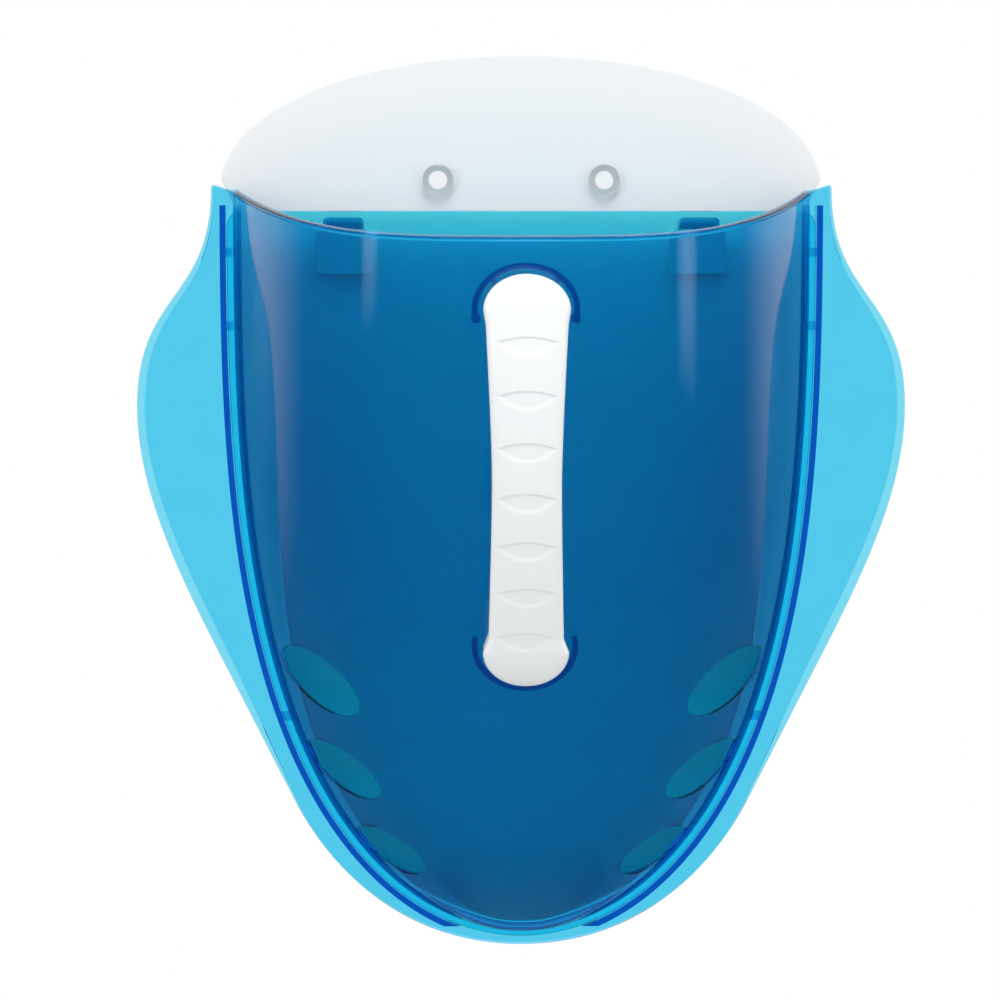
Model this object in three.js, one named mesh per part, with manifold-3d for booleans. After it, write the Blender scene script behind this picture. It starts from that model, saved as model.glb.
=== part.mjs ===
// Bath toy organizer: a translucent scoop with a bow handle, hung by two hooks on a wall bracket
// that three suction cups hold. Millimetres, +z up. The wall is the plane y = 0, the viewer stands at
// -y, and the origin lies on the wall midway between the two upper suction cups.
// "Out" below is the distance out from the wall, so out = -y. "Drop" is the distance below the two
// upper corners of the scoop.
import * as THREE from 'three';
import { mergeVertices } from 'three/addons/utils/BufferGeometryUtils.js';
import Module from 'manifold-3d';

const wasm = await Module();
wasm.setup();

// Fits
const GAP = 0.3; // between pieces that touch
const HOOK_PLAY = 0.8; // before and behind a hook in its pocket
const PANEL_STANDOFF = 1; // between the pockets and the scoop's rear wall
const PANEL_PLAY = 0.5; // between that wall's edge and the rib round it
const RIB_STANDOFF = 0.8; // between the bracket and the rib behind the scoop

// Suction cups
const CUP_RADIUS = 22;
const CUP_RIM_WIDTH = 4; // flat ring that lies on the wall
const CUP_RIM_THICKNESS = 1.2;
const CUP_DEPTH = 8.7; // wall to the shoulder behind the bracket
const CUP_HOLLOW = 3; // depth of the hollow under the cup
const CUP_BELL = 1.15; // power of the bell's flare from its shoulder to its rim
const CUP_SHOULDER_RADIUS = 7;
const CUP_NECK_RADIUS = 3.8;
const CUP_HEAD_RADIUS = 7;
const CUP_HEAD_THICKNESS = 3.2;
const CUP_HEAD_SIDE = 1.4; // straight side of the head under its dome
const UPPER_CUP_X = 37.5;
const LOWER_CUP_BELOW = 130; // lower cup below the upper ones

// Wall bracket: a tall plate that arches above the rim and follows the bowl's outline below it, with
// a lip behind its edge and two pockets for the hooks
const BRACKET_SPREAD = 5.8; // arch beyond the bowl's edge on each side
const BRACKET_TUCK = 6; // the plate is drawn in by this behind the scoop
const BRACKET_EASE = 10; // drop from which it is drawn in
const BRACKET_RISE = 57; // arch above the origin
const BRACKET_THICKNESS = 3;
const BRACKET_LIP_WIDTH = 2.5;
const BRACKET_WALL_CLEARANCE = 2; // between the lip and the wall
const POCKET_WALL = 2.5;

// Rear wall of the scoop and its hooks
const PANEL_THICKNESS = 2.5;
const PANEL_TOP_DROP = 12;
const PANEL_CORNER = 8;
const HOOK_X = 80;
const HOOK_WIDTH = 18;
const HOOK_THICKNESS = 3.4;
const HOOK_LENGTH = 22;
const HOOK_ROOT_HEIGHT = 5;
const HOOK_BELOW_TOP = 3; // top of a hook below the top edge of the rear wall

// Bowl of the scoop: outer surface out = flange + depth(drop) * (1 - |x / halfWidth(drop)| ^ power)
const CORNER_Z = -2;
const BOWL_HALF_WIDTH = 129.2;
const BOWL_HEIGHT = 337.2;
const BOWL_DEPTH = 106;
const BOWL_TAPER = 26; // depth lost from the rim to the bottom before the bottom rounds in
const OUTLINE_POWER = 3.08;
const PROFILE_POWER = 3;
const SECTION_POWER = 3.7;
const WALL = 2.5;
const RIM_DIP = 3; // rim below the corners where it leaves the flange
const RIM_FALL = 24.3; // front lip below the corners
const RIM_BEAD_PROUD = 0.8;
const RIM_BEAD_HEIGHT = 2.2;

// Flange, wings and the rib behind the flange
const FLANGE_THICKNESS = 2.5;
const EDGE_THICKNESS = 1.6; // thin band round the wings
const EDGE_BAND = 4;
const CORNER_BAND = 1.2; // the same band at the corners and round the bottom
const INNER_BAND = 3.45; // flat between the bowl and the rib
const RIB_THICKNESS = 2.7;
const RIB_TOP_DROP = 9.5;
const RIB_END_X = 35;
const CORNER_LEDGE = 3.65; // flange outside the rib at the corners
const CORNER_ROUND = 1.8;
const BOTTOM_LEDGE = 6.5; // flange below the bowl
const WING_REACH = 33.7; // widest point of a wing beyond the corner
const WING_DROP = 100;
const TAIL_DROP = 228; // where a wing's edge runs straight
const TAIL_LEDGE = 14.5; // wing outside the rib there
const TAIL_END_DROP = 277;
const TAIL_END_LEDGE = 10.3;
const SHOULDER_FULLNESS = 0.52; // shares of each curve's length that its ends run straight
const WING_FULLNESS = 0.33;
const TAIL_FULLNESS = 0.52;
const BOTTOM_FULLNESS = 0.5;
const LUG_PROUD = 2.2; // snap lugs on the rib, behind the rear wall
const LUG_DEPTH = 2.6;
const LUG_LENGTH = 4;
const LUG_DROPS = [28.5, 61.5, 238];

// Drain holes, cut straight back: centre as shares of the bowl's height and of its half width there,
// then half length, half width and slope of the long axis
const DRAINS = [
  { along: 0.6495, across: 0.8034, long: 20.6, short: 9.6, slope: 37.5 },
  { along: 0.7695, across: 0.8251, long: 19, short: 8.2, slope: 32.5 },
  { along: 0.8792, across: 0.7887, long: 17, short: 7.3, slope: 29 },
];

// Handle
const HANDLE_TOP_DROP = 54.5; // centre of the upper foot
const HANDLE_SPAN = 144.5; // between the feet
const HANDLE_REACH = 36; // outer face beyond the shell at the feet
const HANDLE_BOW = 8; // outer face beyond its chord at the middle
const HANDLE_THICKNESS = 14;
const HANDLE_SPLIT = 7; // parting face behind the outer face
const HANDLE_WALL = 2.5;
const FOOT_HALF_WIDTH = 18.2;
const FOOT_CAP = 15; // rounded end beyond a foot's centre
const FOOT_INNER = 13; // foot on the finger side of its centre
const WAIST_HALF_WIDTH = 14.6;
const WAIST_EASE = 18; // half of the stretch in which the strap's sides turn
const UPPER_NECK_HALF_WIDTH = 17.2; // strap where it meets the upper foot
const UPPER_NECK_FALL = 6; // that place below the upper foot's centre
const LOWER_NECK_HALF_WIDTH = 15.9;
const LOWER_NECK_RISE = 6;
const END_ROUND = 11; // outer face rounded back at the ends
const INNER_ROUND = 9;
const MARK_COUNT = 7;
const MARK_PITCH = 22.4; // from the first mark to the second
const MARK_CLOSING = 0.65; // each further pitch is shorter by this
const MARK_START = 13.3; // first mark below the upper foot's centre
const MARK_HALF_WIDTH = 13;
const MARK_RISE = 2.6;
const MARK_FALL = 6.3;
const MARK_DEPTH = 0.6;

// Collars on the shell round the feet
const COLLAR_GAP = 2.2;
const COLLAR_WALL = 2.4;
const COLLAR_PROUD = 6;
const COLLAR_OVERRUN = 12; // degrees that the collar reaches past the half circle
const GUSSET_WIDTH = 1.6;
const GUSSET_ANGLES = [48, 134];

// Handle screws
const SCREW_X = 8;
const SCREW_RADIUS = 1.9;
const SCREW_HEAD_RADIUS = 3.8;
const SCREW_HEAD_THICKNESS = 2.6;
const SCREW_HEAD_SIDE = 1.3; // straight side of the head
const SCREW_CROWN_RADIUS = 2.7; // flat top of the head
const SCREW_POINT = 3;
const SCREW_COVER = 2.4; // handle left in front of a screw's point
const PAD_RADIUS = 5.4; // flat pads for the screw heads inside the bowl
const PAD_PROUD = 2;

// Fineness of curved faces
const BOWL_ROWS = 20;
const BOWL_COLUMNS = 24;
const EDGE_STEPS = 18;
const CURVE_STEPS = 8;
const ROUND_STEPS = 18;
const CUP_STEPS = 3;
const WELD = 1e-4; // points closer than this are one point
const OVERCUT = 5; // how far a cutter runs past what it cuts

// The stack from the wall outwards
const bracketBack = CUP_DEPTH + GAP;
const bracketFront = bracketBack + BRACKET_THICKNESS;
const hookBack = bracketFront + HOOK_PLAY;
const hookFront = hookBack + HOOK_THICKNESS;
const pocketInside = hookFront + HOOK_PLAY;
const pocketFront = pocketInside + POCKET_WALL;
const panelBack = pocketFront + PANEL_STANDOFF;
const panelFront = panelBack + PANEL_THICKNESS;
const flangeBack = panelFront + GAP;
const flangeFront = flangeBack + FLANGE_THICKNESS;
const ribBack = bracketFront + RIB_STANDOFF;

// Rings of the flange, counted outwards from the bowl's edge
const ribInside = INNER_BAND;
const ribOutside = ribInside + RIB_THICKNESS;
const cornerX = BOWL_HALF_WIDTH + ribOutside + CORNER_LEDGE;

// The bowl's solid above the corners, which the sloping rim cuts away
const headroom = 4 * RIM_FALL;

// Places of the handle
const upperFootZ = CORNER_Z - HANDLE_TOP_DROP;
const lowerFootZ = upperFootZ - HANDLE_SPAN;
const handleTopZ = upperFootZ + FOOT_CAP;
const handleBottomZ = lowerFootZ - FOOT_CAP;

// Half width of the bowl's edge at a drop. grow widens the outline on all sides.
function halfWidth(drop, grow = 0) {
  const share = Math.min(Math.max(drop / (BOWL_HEIGHT + grow), 0), 1);
  return (BOWL_HALF_WIDTH + grow) * Math.sqrt(1 - share ** OUTLINE_POWER);
}

// Drop at which the bowl's edge has narrowed to a given half width
function dropAt(width, grow = 0) {
  const share = width / (BOWL_HALF_WIDTH + grow);
  return (BOWL_HEIGHT + grow) * (1 - share * share) ** (1 / OUTLINE_POWER);
}

// Distance of the bowl's surface out from the wall on its middle line
function middleOut(z, grow = 0) {
  const drop = CORNER_Z - z;
  const share = Math.min(Math.max(drop / (BOWL_HEIGHT + grow), 0), 1);
  const depth = BOWL_DEPTH + grow - BOWL_TAPER * share;
  return flangeFront + depth * Math.sqrt(1 - share ** PROFILE_POWER);
}

// A closed mesh as a solid. Triangles that vanish where points coincide are left out.
function toSolid(geometry) {
  const plain = new THREE.BufferGeometry();
  plain.setAttribute('position', geometry.getAttribute('position').clone());
  if (geometry.index) plain.setIndex(geometry.index.clone());
  const merged = mergeVertices(plain, WELD);
  const triangles = [];
  for (let i = 0; i < merged.index.count; i += 3) {
    const [a, b, c] = [0, 1, 2].map((k) => merged.index.getX(i + k));
    if (a !== b && b !== c && c !== a) triangles.push(a, b, c);
  }
  const mesh = new wasm.Mesh({
    numProp: 3,
    vertProperties: new Float32Array(merged.getAttribute('position').array),
    triVerts: new Uint32Array(triangles),
  });
  return new wasm.Manifold(mesh);
}

function toGeometry(solid) {
  const mesh = solid.getMesh();
  const geometry = new THREE.BufferGeometry();
  geometry.setAttribute('position', new THREE.BufferAttribute(new Float32Array(mesh.vertProperties), 3));
  geometry.setIndex(new THREE.BufferAttribute(new Uint32Array(mesh.triVerts), 1));
  geometry.computeVertexNormals();
  return geometry;
}

const joined = (solids) => solids.reduce((sum, solid) => sum.add(solid));

// A shape drawn as seen from the front (x, z), made solid between two distances out from the wall
function frontPrism(shape, from, to) {
  const geometry = new THREE.ExtrudeGeometry(shape, {
    depth: to - from,
    bevelEnabled: false,
    curveSegments: CURVE_STEPS,
  });
  geometry.rotateX(Math.PI / 2);
  geometry.translate(0, -from, 0);
  return toSolid(geometry);
}

// A shape drawn as seen from the side (out, z), made solid for a half width each side of the middle
function sidePrism(shape, halfSpan) {
  const geometry = new THREE.ExtrudeGeometry(shape, {
    depth: 2 * halfSpan,
    bevelEnabled: false,
    curveSegments: CURVE_STEPS,
  });
  geometry.translate(0, 0, -halfSpan);
  const toSide = new THREE.Matrix4().makeBasis(
    new THREE.Vector3(0, -1, 0),
    new THREE.Vector3(0, 0, 1),
    new THREE.Vector3(-1, 0, 0),
  );
  geometry.applyMatrix4(toSide);
  return toSolid(geometry);
}

// A box from its lowest to its highest x and z and its two distances out from the wall
function box(x0, x1, z0, z1, from, to) {
  const geometry = new THREE.BoxGeometry(x1 - x0, to - from, z1 - z0);
  geometry.translate((x0 + x1) / 2, -(from + to) / 2, (z0 + z1) / 2);
  return toSolid(geometry);
}

// A profile of (radius, out) points turned about an axis square to the wall
function turned(points, x, z) {
  const profile = points.map(([radius, out]) => new THREE.Vector2(radius, out));
  const geometry = new THREE.LatheGeometry(profile, ROUND_STEPS);
  geometry.rotateX(Math.PI);
  geometry.translate(x, 0, z);
  return toSolid(geometry);
}

const bore = (x, z, radius, from, to) => turned([[0, from], [radius, from], [radius, to], [0, to]], x, z);

const polygon = (points) => new THREE.Shape(points.map(([a, b]) => new THREE.Vector2(a, b)));

// The bowl as a filled solid, from a flat back to its curved front, grown outwards by grow
function bowl(grow, back) {
  const rows = [-headroom];
  for (let i = 0; i <= BOWL_ROWS; i += 1) {
    rows.push((BOWL_HEIGHT + grow) * (1 - (1 - i / BOWL_ROWS) ** 2));
  }
  const across = BOWL_COLUMNS + 3;
  const positions = [];
  rows.forEach((drop) => {
    const width = halfWidth(drop, grow);
    const z = CORNER_Z - drop;
    const reach = middleOut(z, grow) - flangeFront;
    positions.push(-width, -back, z);
    for (let j = 0; j <= BOWL_COLUMNS; j += 1) {
      const u = Math.sin((j / BOWL_COLUMNS - 0.5) * Math.PI);
      const out = flangeFront + reach * (1 - Math.abs(u) ** SECTION_POWER);
      positions.push(width * u, -out, z);
    }
    positions.push(width, -back, z);
  });
  const triangles = [];
  for (let i = 0; i + 1 < rows.length; i += 1) {
    for (let j = 0; j < across; j += 1) {
      const a = i * across + j;
      const b = i * across + ((j + 1) % across);
      triangles.push(a, a + across, b, b, a + across, b + across);
    }
  }
  for (let j = 1; j + 1 < across; j += 1) triangles.push(0, j, j + 1);
  const geometry = new THREE.BufferGeometry();
  geometry.setAttribute('position', new THREE.Float32BufferAttribute(positions, 3));
  geometry.setIndex(triangles);
  return toSolid(geometry);
}

// A band along the bowl's edge on one side, between two rings and two drops
function edgeBand(side, ringFrom, ringTo, dropFrom, dropTo) {
  const points = [];
  const along = (step) => dropFrom + (dropTo - dropFrom) * (1 - (1 - step / EDGE_STEPS) ** 2);
  for (let i = 0; i <= EDGE_STEPS; i += 1) {
    points.push([side * halfWidth(along(i), ringTo), CORNER_Z - along(i)]);
  }
  for (let i = EDGE_STEPS; i >= 0; i -= 1) {
    points.push([side * halfWidth(along(i), ringFrom), CORNER_Z - along(i)]);
  }
  return polygon(points);
}

// Points down the right side of a plate whose edge is a ring round the bowl's edge, from a drop on
function sideLine(ring, start) {
  const bottom = BOWL_HEIGHT + ring;
  return Array.from({ length: EDGE_STEPS + 1 }, (_, i) => {
    const drop = start + (bottom - start) * (1 - (1 - i / EDGE_STEPS) ** 2);
    return [halfWidth(drop, ring), CORNER_Z - drop];
  });
}

// Such a plate's shape, open at the top, from its upper right point round to its upper left one
function hangingShape(right) {
  const left = right.slice(0, -1).map(([x, z]) => [-x, z]);
  return polygon([...right, ...left.toReversed()]);
}

// Outline of the flange and its wings, as seen from the front, drawn inside the edge by one band along
// the wings and by another at the corners and the bottom
function wingOutline(band, cornerBand) {
  const wingX = cornerX + WING_REACH - band;
  const sideX = cornerX - cornerBand;
  const ribMiddle = ribInside + RIB_THICKNESS / 2;
  const tailX = halfWidth(TAIL_DROP, ribMiddle) + TAIL_LEDGE - band;
  const endX = halfWidth(TAIL_END_DROP, ribMiddle) + TAIL_END_LEDGE - cornerBand;
  const bottom = BOWL_HEIGHT + BOTTOM_LEDGE - cornerBand;
  const lean = (tailX - endX) / (TAIL_END_DROP - TAIL_DROP);
  const knee = TAIL_FULLNESS * (bottom - TAIL_END_DROP);
  const calf = WING_FULLNESS * (TAIL_DROP - WING_DROP);
  const shoulder = SHOULDER_FULLNESS * WING_DROP;
  const at = (x, drop) => [x, CORNER_Z - drop];
  const base = at(0, bottom);
  const tailEnd = at(endX, TAIL_END_DROP);
  const tail = at(tailX, TAIL_DROP);
  const widest = at(wingX, WING_DROP);
  const below = at(sideX, shoulder + band / 2);
  const corner = at(sideX, CORNER_ROUND + cornerBand);
  const roundDip = (CORNER_ROUND * RIM_DIP) / (cornerX - BOWL_HALF_WIDTH);
  const cornerEnd = at(sideX - CORNER_ROUND, cornerBand + roundDip);
  const half = [
    [base, at(BOTTOM_FULLNESS * endX, bottom), at(endX - lean * knee, TAIL_END_DROP + knee), tailEnd],
    [tailEnd, tail],
    [tail, at(tailX + lean * calf, TAIL_DROP - calf), at(wingX, WING_DROP + calf), widest],
    [widest, at(wingX, WING_DROP - shoulder + band / 2), below, corner],
    [corner, at(sideX, cornerBand), cornerEnd],
    [cornerEnd, at(BOWL_HALF_WIDTH, RIM_DIP + cornerBand)],
  ];
  const shape = new THREE.Shape();
  const draw = (points, sign) => {
    const [p1, p2, p3] = points.slice(1).map(([x, z]) => [sign * x, z]);
    if (p3) shape.bezierCurveTo(...p1, ...p2, ...p3);
    else if (p2) shape.quadraticCurveTo(...p1, ...p2);
    else shape.lineTo(...p1);
  };
  shape.moveTo(...half[0][0]);
  half.forEach((points) => draw(points, 1));
  shape.lineTo(-BOWL_HALF_WIDTH, CORNER_Z - RIM_DIP - cornerBand);
  half.toReversed().forEach((points) => draw(points.toReversed(), -1));
  return shape;
}

// The space on the open side of the sloping rim, moved down by a distance
function aboveRim(down) {
  const slope = (RIM_FALL - RIM_DIP) / BOWL_DEPTH;
  const far = flangeFront + 2 * BOWL_DEPTH;
  const near = flangeFront - OVERCUT;
  const rimZ = (out) => CORNER_Z - RIM_DIP - down - slope * (out - flangeFront);
  const top = CORNER_Z + 2 * headroom;
  const side = polygon([[near, rimZ(near)], [far, rimZ(far)], [far, top], [near, top]]);
  return sidePrism(side, 2 * BOWL_HALF_WIDTH);
}

// Half ring round a foot; turn is 1 for the upper collar and -1 for the lower one
function collarShape(z, turn) {
  const inner = FOOT_HALF_WIDTH + COLLAR_GAP;
  const outer = inner + COLLAR_WALL;
  const cap = FOOT_CAP - FOOT_HALF_WIDTH;
  const overrun = THREE.MathUtils.degToRad(COLLAR_OVERRUN);
  const points = [];
  const arc = (radius, from, to) => {
    for (let i = 0; i <= ROUND_STEPS; i += 1) {
      const angle = from + ((to - from) * i) / ROUND_STEPS;
      points.push([radius * Math.cos(angle), z + turn * (radius + cap) * Math.sin(angle)]);
    }
  };
  arc(outer, -overrun, Math.PI + overrun);
  arc(inner, Math.PI + overrun, -overrun);
  return polygon(points);
}

// A short rib from the upper collar towards the foot
function gusset(angle) {
  const from = FOOT_HALF_WIDTH + 2 * GAP;
  const to = FOOT_HALF_WIDTH + COLLAR_GAP + COLLAR_WALL / 2;
  const cap = FOOT_CAP - FOOT_HALF_WIDTH;
  const radians = THREE.MathUtils.degToRad(angle);
  const along = new THREE.Vector2(Math.cos(radians), Math.sin(radians));
  const corner = (radius, half) => [
    radius * along.x - half * along.y,
    upperFootZ + (radius + cap) * along.y + half * along.x,
  ];
  const half = GUSSET_WIDTH / 2;
  return polygon([corner(from, -half), corner(to, -half), corner(to, half), corner(from, half)]);
}

function drainShape({ along, across, long, short, slope }, side) {
  const shape = new THREE.Shape();
  const drop = along * BOWL_HEIGHT;
  const x = side * across * halfWidth(drop);
  const turn = THREE.MathUtils.degToRad(slope) * side;
  shape.absellipse(x, CORNER_Z - drop, long, short, 0, 2 * Math.PI, false, turn);
  return shape;
}

// Outer face of the handle on its middle line
function faceOut(z) {
  const share = (upperFootZ - z) / HANDLE_SPAN;
  const top = middleOut(upperFootZ) + HANDLE_REACH;
  const bottom = middleOut(lowerFootZ) + HANDLE_REACH;
  return top + (bottom - top) * share + 4 * HANDLE_BOW * share * (1 - share);
}

// Where each screw stands: its head's seat inside the bowl and its point in the handle
const screws = [];
[['upper', upperFootZ], ['lower', lowerFootZ]].forEach(([level, z]) => {
  [['left', -1], ['right', 1]].forEach(([hand, side]) => {
    const seat = middleOut(z, -WALL) - PAD_PROUD;
    const tip = faceOut(z) - SCREW_COVER;
    screws.push({ name: `handle_screw_${level}_${hand}`, x: side * SCREW_X, z, seat, tip });
  });
});

// Points along the handle's outer face, moved back by a distance, from one height to another
function faceLine(behind, zFrom, zTo) {
  const points = [];
  for (let i = 0; i <= CURVE_STEPS; i += 1) {
    const z = zFrom + ((zTo - zFrom) * i) / CURVE_STEPS;
    points.push([faceOut(z) - behind, z]);
  }
  return points;
}

function handleProfile() {
  const shape = new THREE.Shape();
  const rootUp = middleOut(upperFootZ) - OVERCUT;
  const rootLow = middleOut(lowerFootZ) - 2 * OVERCUT;
  const innerTop = upperFootZ - FOOT_INNER;
  const innerLow = lowerFootZ + FOOT_INNER;
  const rearTop = faceOut(innerTop) - HANDLE_THICKNESS;
  const rearLow = faceOut(innerLow) - HANDLE_THICKNESS;
  const line = (points) => points.forEach(([out, z]) => shape.lineTo(out, z));
  shape.moveTo(rootUp, handleTopZ);
  shape.lineTo(faceOut(handleTopZ) - END_ROUND, handleTopZ);
  const faceTop = handleTopZ - END_ROUND;
  const faceLow = handleBottomZ + END_ROUND;
  shape.quadraticCurveTo(faceOut(handleTopZ), handleTopZ, faceOut(faceTop), faceTop);
  line(faceLine(0, faceTop, faceLow).slice(1));
  const faceEnd = faceOut(handleBottomZ);
  shape.quadraticCurveTo(faceEnd, handleBottomZ, faceEnd - END_ROUND, handleBottomZ);
  shape.lineTo(rootLow, handleBottomZ);
  shape.lineTo(rootLow, innerLow);
  shape.lineTo(rearLow - INNER_ROUND, innerLow);
  const rearFrom = innerLow + INNER_ROUND;
  const rearTo = innerTop - INNER_ROUND;
  shape.quadraticCurveTo(rearLow, innerLow, faceOut(rearFrom) - HANDLE_THICKNESS, rearFrom);
  line(faceLine(HANDLE_THICKNESS, rearFrom, rearTo).slice(1));
  shape.quadraticCurveTo(rearTop, innerTop, rearTop - INNER_ROUND, innerTop);
  shape.lineTo(rootUp, innerTop);
  return shape;
}

function handleOutline() {
  const shape = new THREE.Shape();
  const waistZ = (upperFootZ + lowerFootZ) / 2;
  const upperNeckZ = upperFootZ - UPPER_NECK_FALL;
  const lowerNeckZ = lowerFootZ + LOWER_NECK_RISE;
  shape.moveTo(FOOT_HALF_WIDTH, upperFootZ);
  shape.absellipse(0, upperFootZ, FOOT_HALF_WIDTH, FOOT_CAP, 0, Math.PI, false);
  shape.lineTo(-UPPER_NECK_HALF_WIDTH, upperNeckZ);
  shape.quadraticCurveTo(-WAIST_HALF_WIDTH, waistZ + WAIST_EASE, -WAIST_HALF_WIDTH, waistZ);
  shape.quadraticCurveTo(-WAIST_HALF_WIDTH, waistZ - WAIST_EASE, -LOWER_NECK_HALF_WIDTH, lowerNeckZ);
  shape.lineTo(-FOOT_HALF_WIDTH, lowerFootZ);
  shape.absellipse(0, lowerFootZ, FOOT_HALF_WIDTH, FOOT_CAP, Math.PI, 2 * Math.PI, false);
  shape.lineTo(LOWER_NECK_HALF_WIDTH, lowerNeckZ);
  shape.quadraticCurveTo(WAIST_HALF_WIDTH, waistZ - WAIST_EASE, WAIST_HALF_WIDTH, waistZ);
  shape.quadraticCurveTo(WAIST_HALF_WIDTH, waistZ + WAIST_EASE, UPPER_NECK_HALF_WIDTH, upperNeckZ);
  return shape;
}

// The space in front of the handle's parting face, moved back by a distance
function beforeSplit(behind) {
  const top = handleTopZ + OVERCUT;
  const bottom = handleBottomZ - OVERCUT;
  const far = faceOut(upperFootZ) + HANDLE_REACH + HANDLE_BOW;
  const line = faceLine(HANDLE_SPLIT + behind, top, bottom);
  return sidePrism(polygon([...line, [far, bottom], [far, top]]), 2 * FOOT_HALF_WIDTH);
}

// A lens: a low arc above and a deeper one below
function markShape(z) {
  const shape = new THREE.Shape();
  shape.moveTo(-MARK_HALF_WIDTH, z);
  shape.quadraticCurveTo(0, z - 2 * MARK_FALL, MARK_HALF_WIDTH, z);
  shape.quadraticCurveTo(0, z + 2 * MARK_RISE, -MARK_HALF_WIDTH, z);
  return shape;
}

function screwHoles(solid) {
  return screws.reduce((cut, { x, z, seat, tip }) => {
    return cut.subtract(bore(x, z, SCREW_RADIUS + GAP, seat - OVERCUT, tip + GAP));
  }, solid);
}

// A bell with a flat rim, a neck through the bracket and a domed head in front of it
function suctionCup(x, z) {
  const rimInside = CUP_RADIUS - CUP_RIM_WIDTH;
  const neckFront = bracketFront + GAP;
  const shares = Array.from({ length: CUP_STEPS + 1 }, (_, i) => i / CUP_STEPS);
  const hollow = shares.map((share) => [rimInside * share, CUP_HOLLOW * (1 - share * share)]);
  const bell = shares.map((share) => [
    CUP_RADIUS + (CUP_SHOULDER_RADIUS - CUP_RADIUS) * share,
    CUP_RIM_THICKNESS + (CUP_DEPTH - CUP_RIM_THICKNESS) * share ** CUP_BELL,
  ]);
  const dome = shares.map((share) => [
    CUP_HEAD_RADIUS * Math.cos((share * Math.PI) / 2),
    neckFront + CUP_HEAD_SIDE + (CUP_HEAD_THICKNESS - CUP_HEAD_SIDE) * Math.sin((share * Math.PI) / 2),
  ]);
  const neck = [
    [CUP_NECK_RADIUS, CUP_DEPTH],
    [CUP_NECK_RADIUS, neckFront],
    [CUP_HEAD_RADIUS, neckFront],
  ];
  return turned([...hollow, [CUP_RADIUS, 0], ...bell, ...neck, ...dome], x, z);
}

const cups = [
  { name: 'suction_cup_upper_left', x: -UPPER_CUP_X, z: 0 },
  { name: 'suction_cup_upper_right', x: UPPER_CUP_X, z: 0 },
  { name: 'suction_cup_lower', x: 0, z: -LOWER_CUP_BELOW },
];

const hookTop = CORNER_Z - PANEL_TOP_DROP - HOOK_BELOW_TOP;
const hookSeat = hookTop - HOOK_ROOT_HEIGHT;
const hookEnd = hookTop - HOOK_LENGTH;

// The bracket's outline, drawn a band's width inside its edge
function bracketOutline(band) {
  const ring = BRACKET_SPREAD - band;
  const shape = hangingShape(sideLine(ring - BRACKET_TUCK, BRACKET_EASE));
  shape.absellipse(0, 0, BOWL_HALF_WIDTH + ring, BRACKET_RISE - band, Math.PI, 0, true);
  return shape;
}

function wallBracket() {
  const lip = frontPrism(bracketOutline(0), BRACKET_WALL_CLEARANCE, bracketFront);
  const insideLip = bracketOutline(BRACKET_LIP_WIDTH);
  let solid = lip.subtract(frontPrism(insideLip, BRACKET_WALL_CLEARANCE - OVERCUT, bracketBack));
  [-1, 1].forEach((side) => {
    const x = side * HOOK_X;
    const inside = HOOK_WIDTH / 2 + HOOK_PLAY;
    const outside = inside + POCKET_WALL;
    const floor = hookEnd - HOOK_PLAY;
    const top = hookSeat - GAP;
    const block = box(x - outside, x + outside, floor - POCKET_WALL, top, bracketBack, pocketFront);
    const slot = box(x - inside, x + inside, floor, top + OVERCUT, bracketFront, pocketInside);
    solid = solid.add(block).subtract(slot);
  });
  return cups.reduce((cut, { x, z }) => {
    return cut.subtract(bore(x, z, CUP_NECK_RADIUS + GAP, bracketBack - OVERCUT, bracketFront + OVERCUT));
  }, solid);
}

function backPanel() {
  const right = sideLine(ribInside - PANEL_PLAY, PANEL_TOP_DROP + PANEL_CORNER);
  const topZ = CORNER_Z - PANEL_TOP_DROP;
  const [edgeX, edgeZ] = right[0];
  const shape = hangingShape(right);
  shape.quadraticCurveTo(-edgeX, topZ, PANEL_CORNER - edgeX, topZ);
  shape.lineTo(edgeX - PANEL_CORNER, topZ);
  shape.quadraticCurveTo(edgeX, topZ, edgeX, edgeZ);
  let solid = frontPrism(shape, panelBack, panelFront);
  [-1, 1].forEach((side) => {
    const x0 = side * HOOK_X - HOOK_WIDTH / 2;
    const x1 = side * HOOK_X + HOOK_WIDTH / 2;
    const root = box(x0, x1, hookSeat, hookTop, hookBack, panelFront);
    const tongue = box(x0, x1, hookEnd, hookTop, hookBack, hookFront);
    solid = solid.add(root).add(tongue);
  });
  return solid;
}

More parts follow.
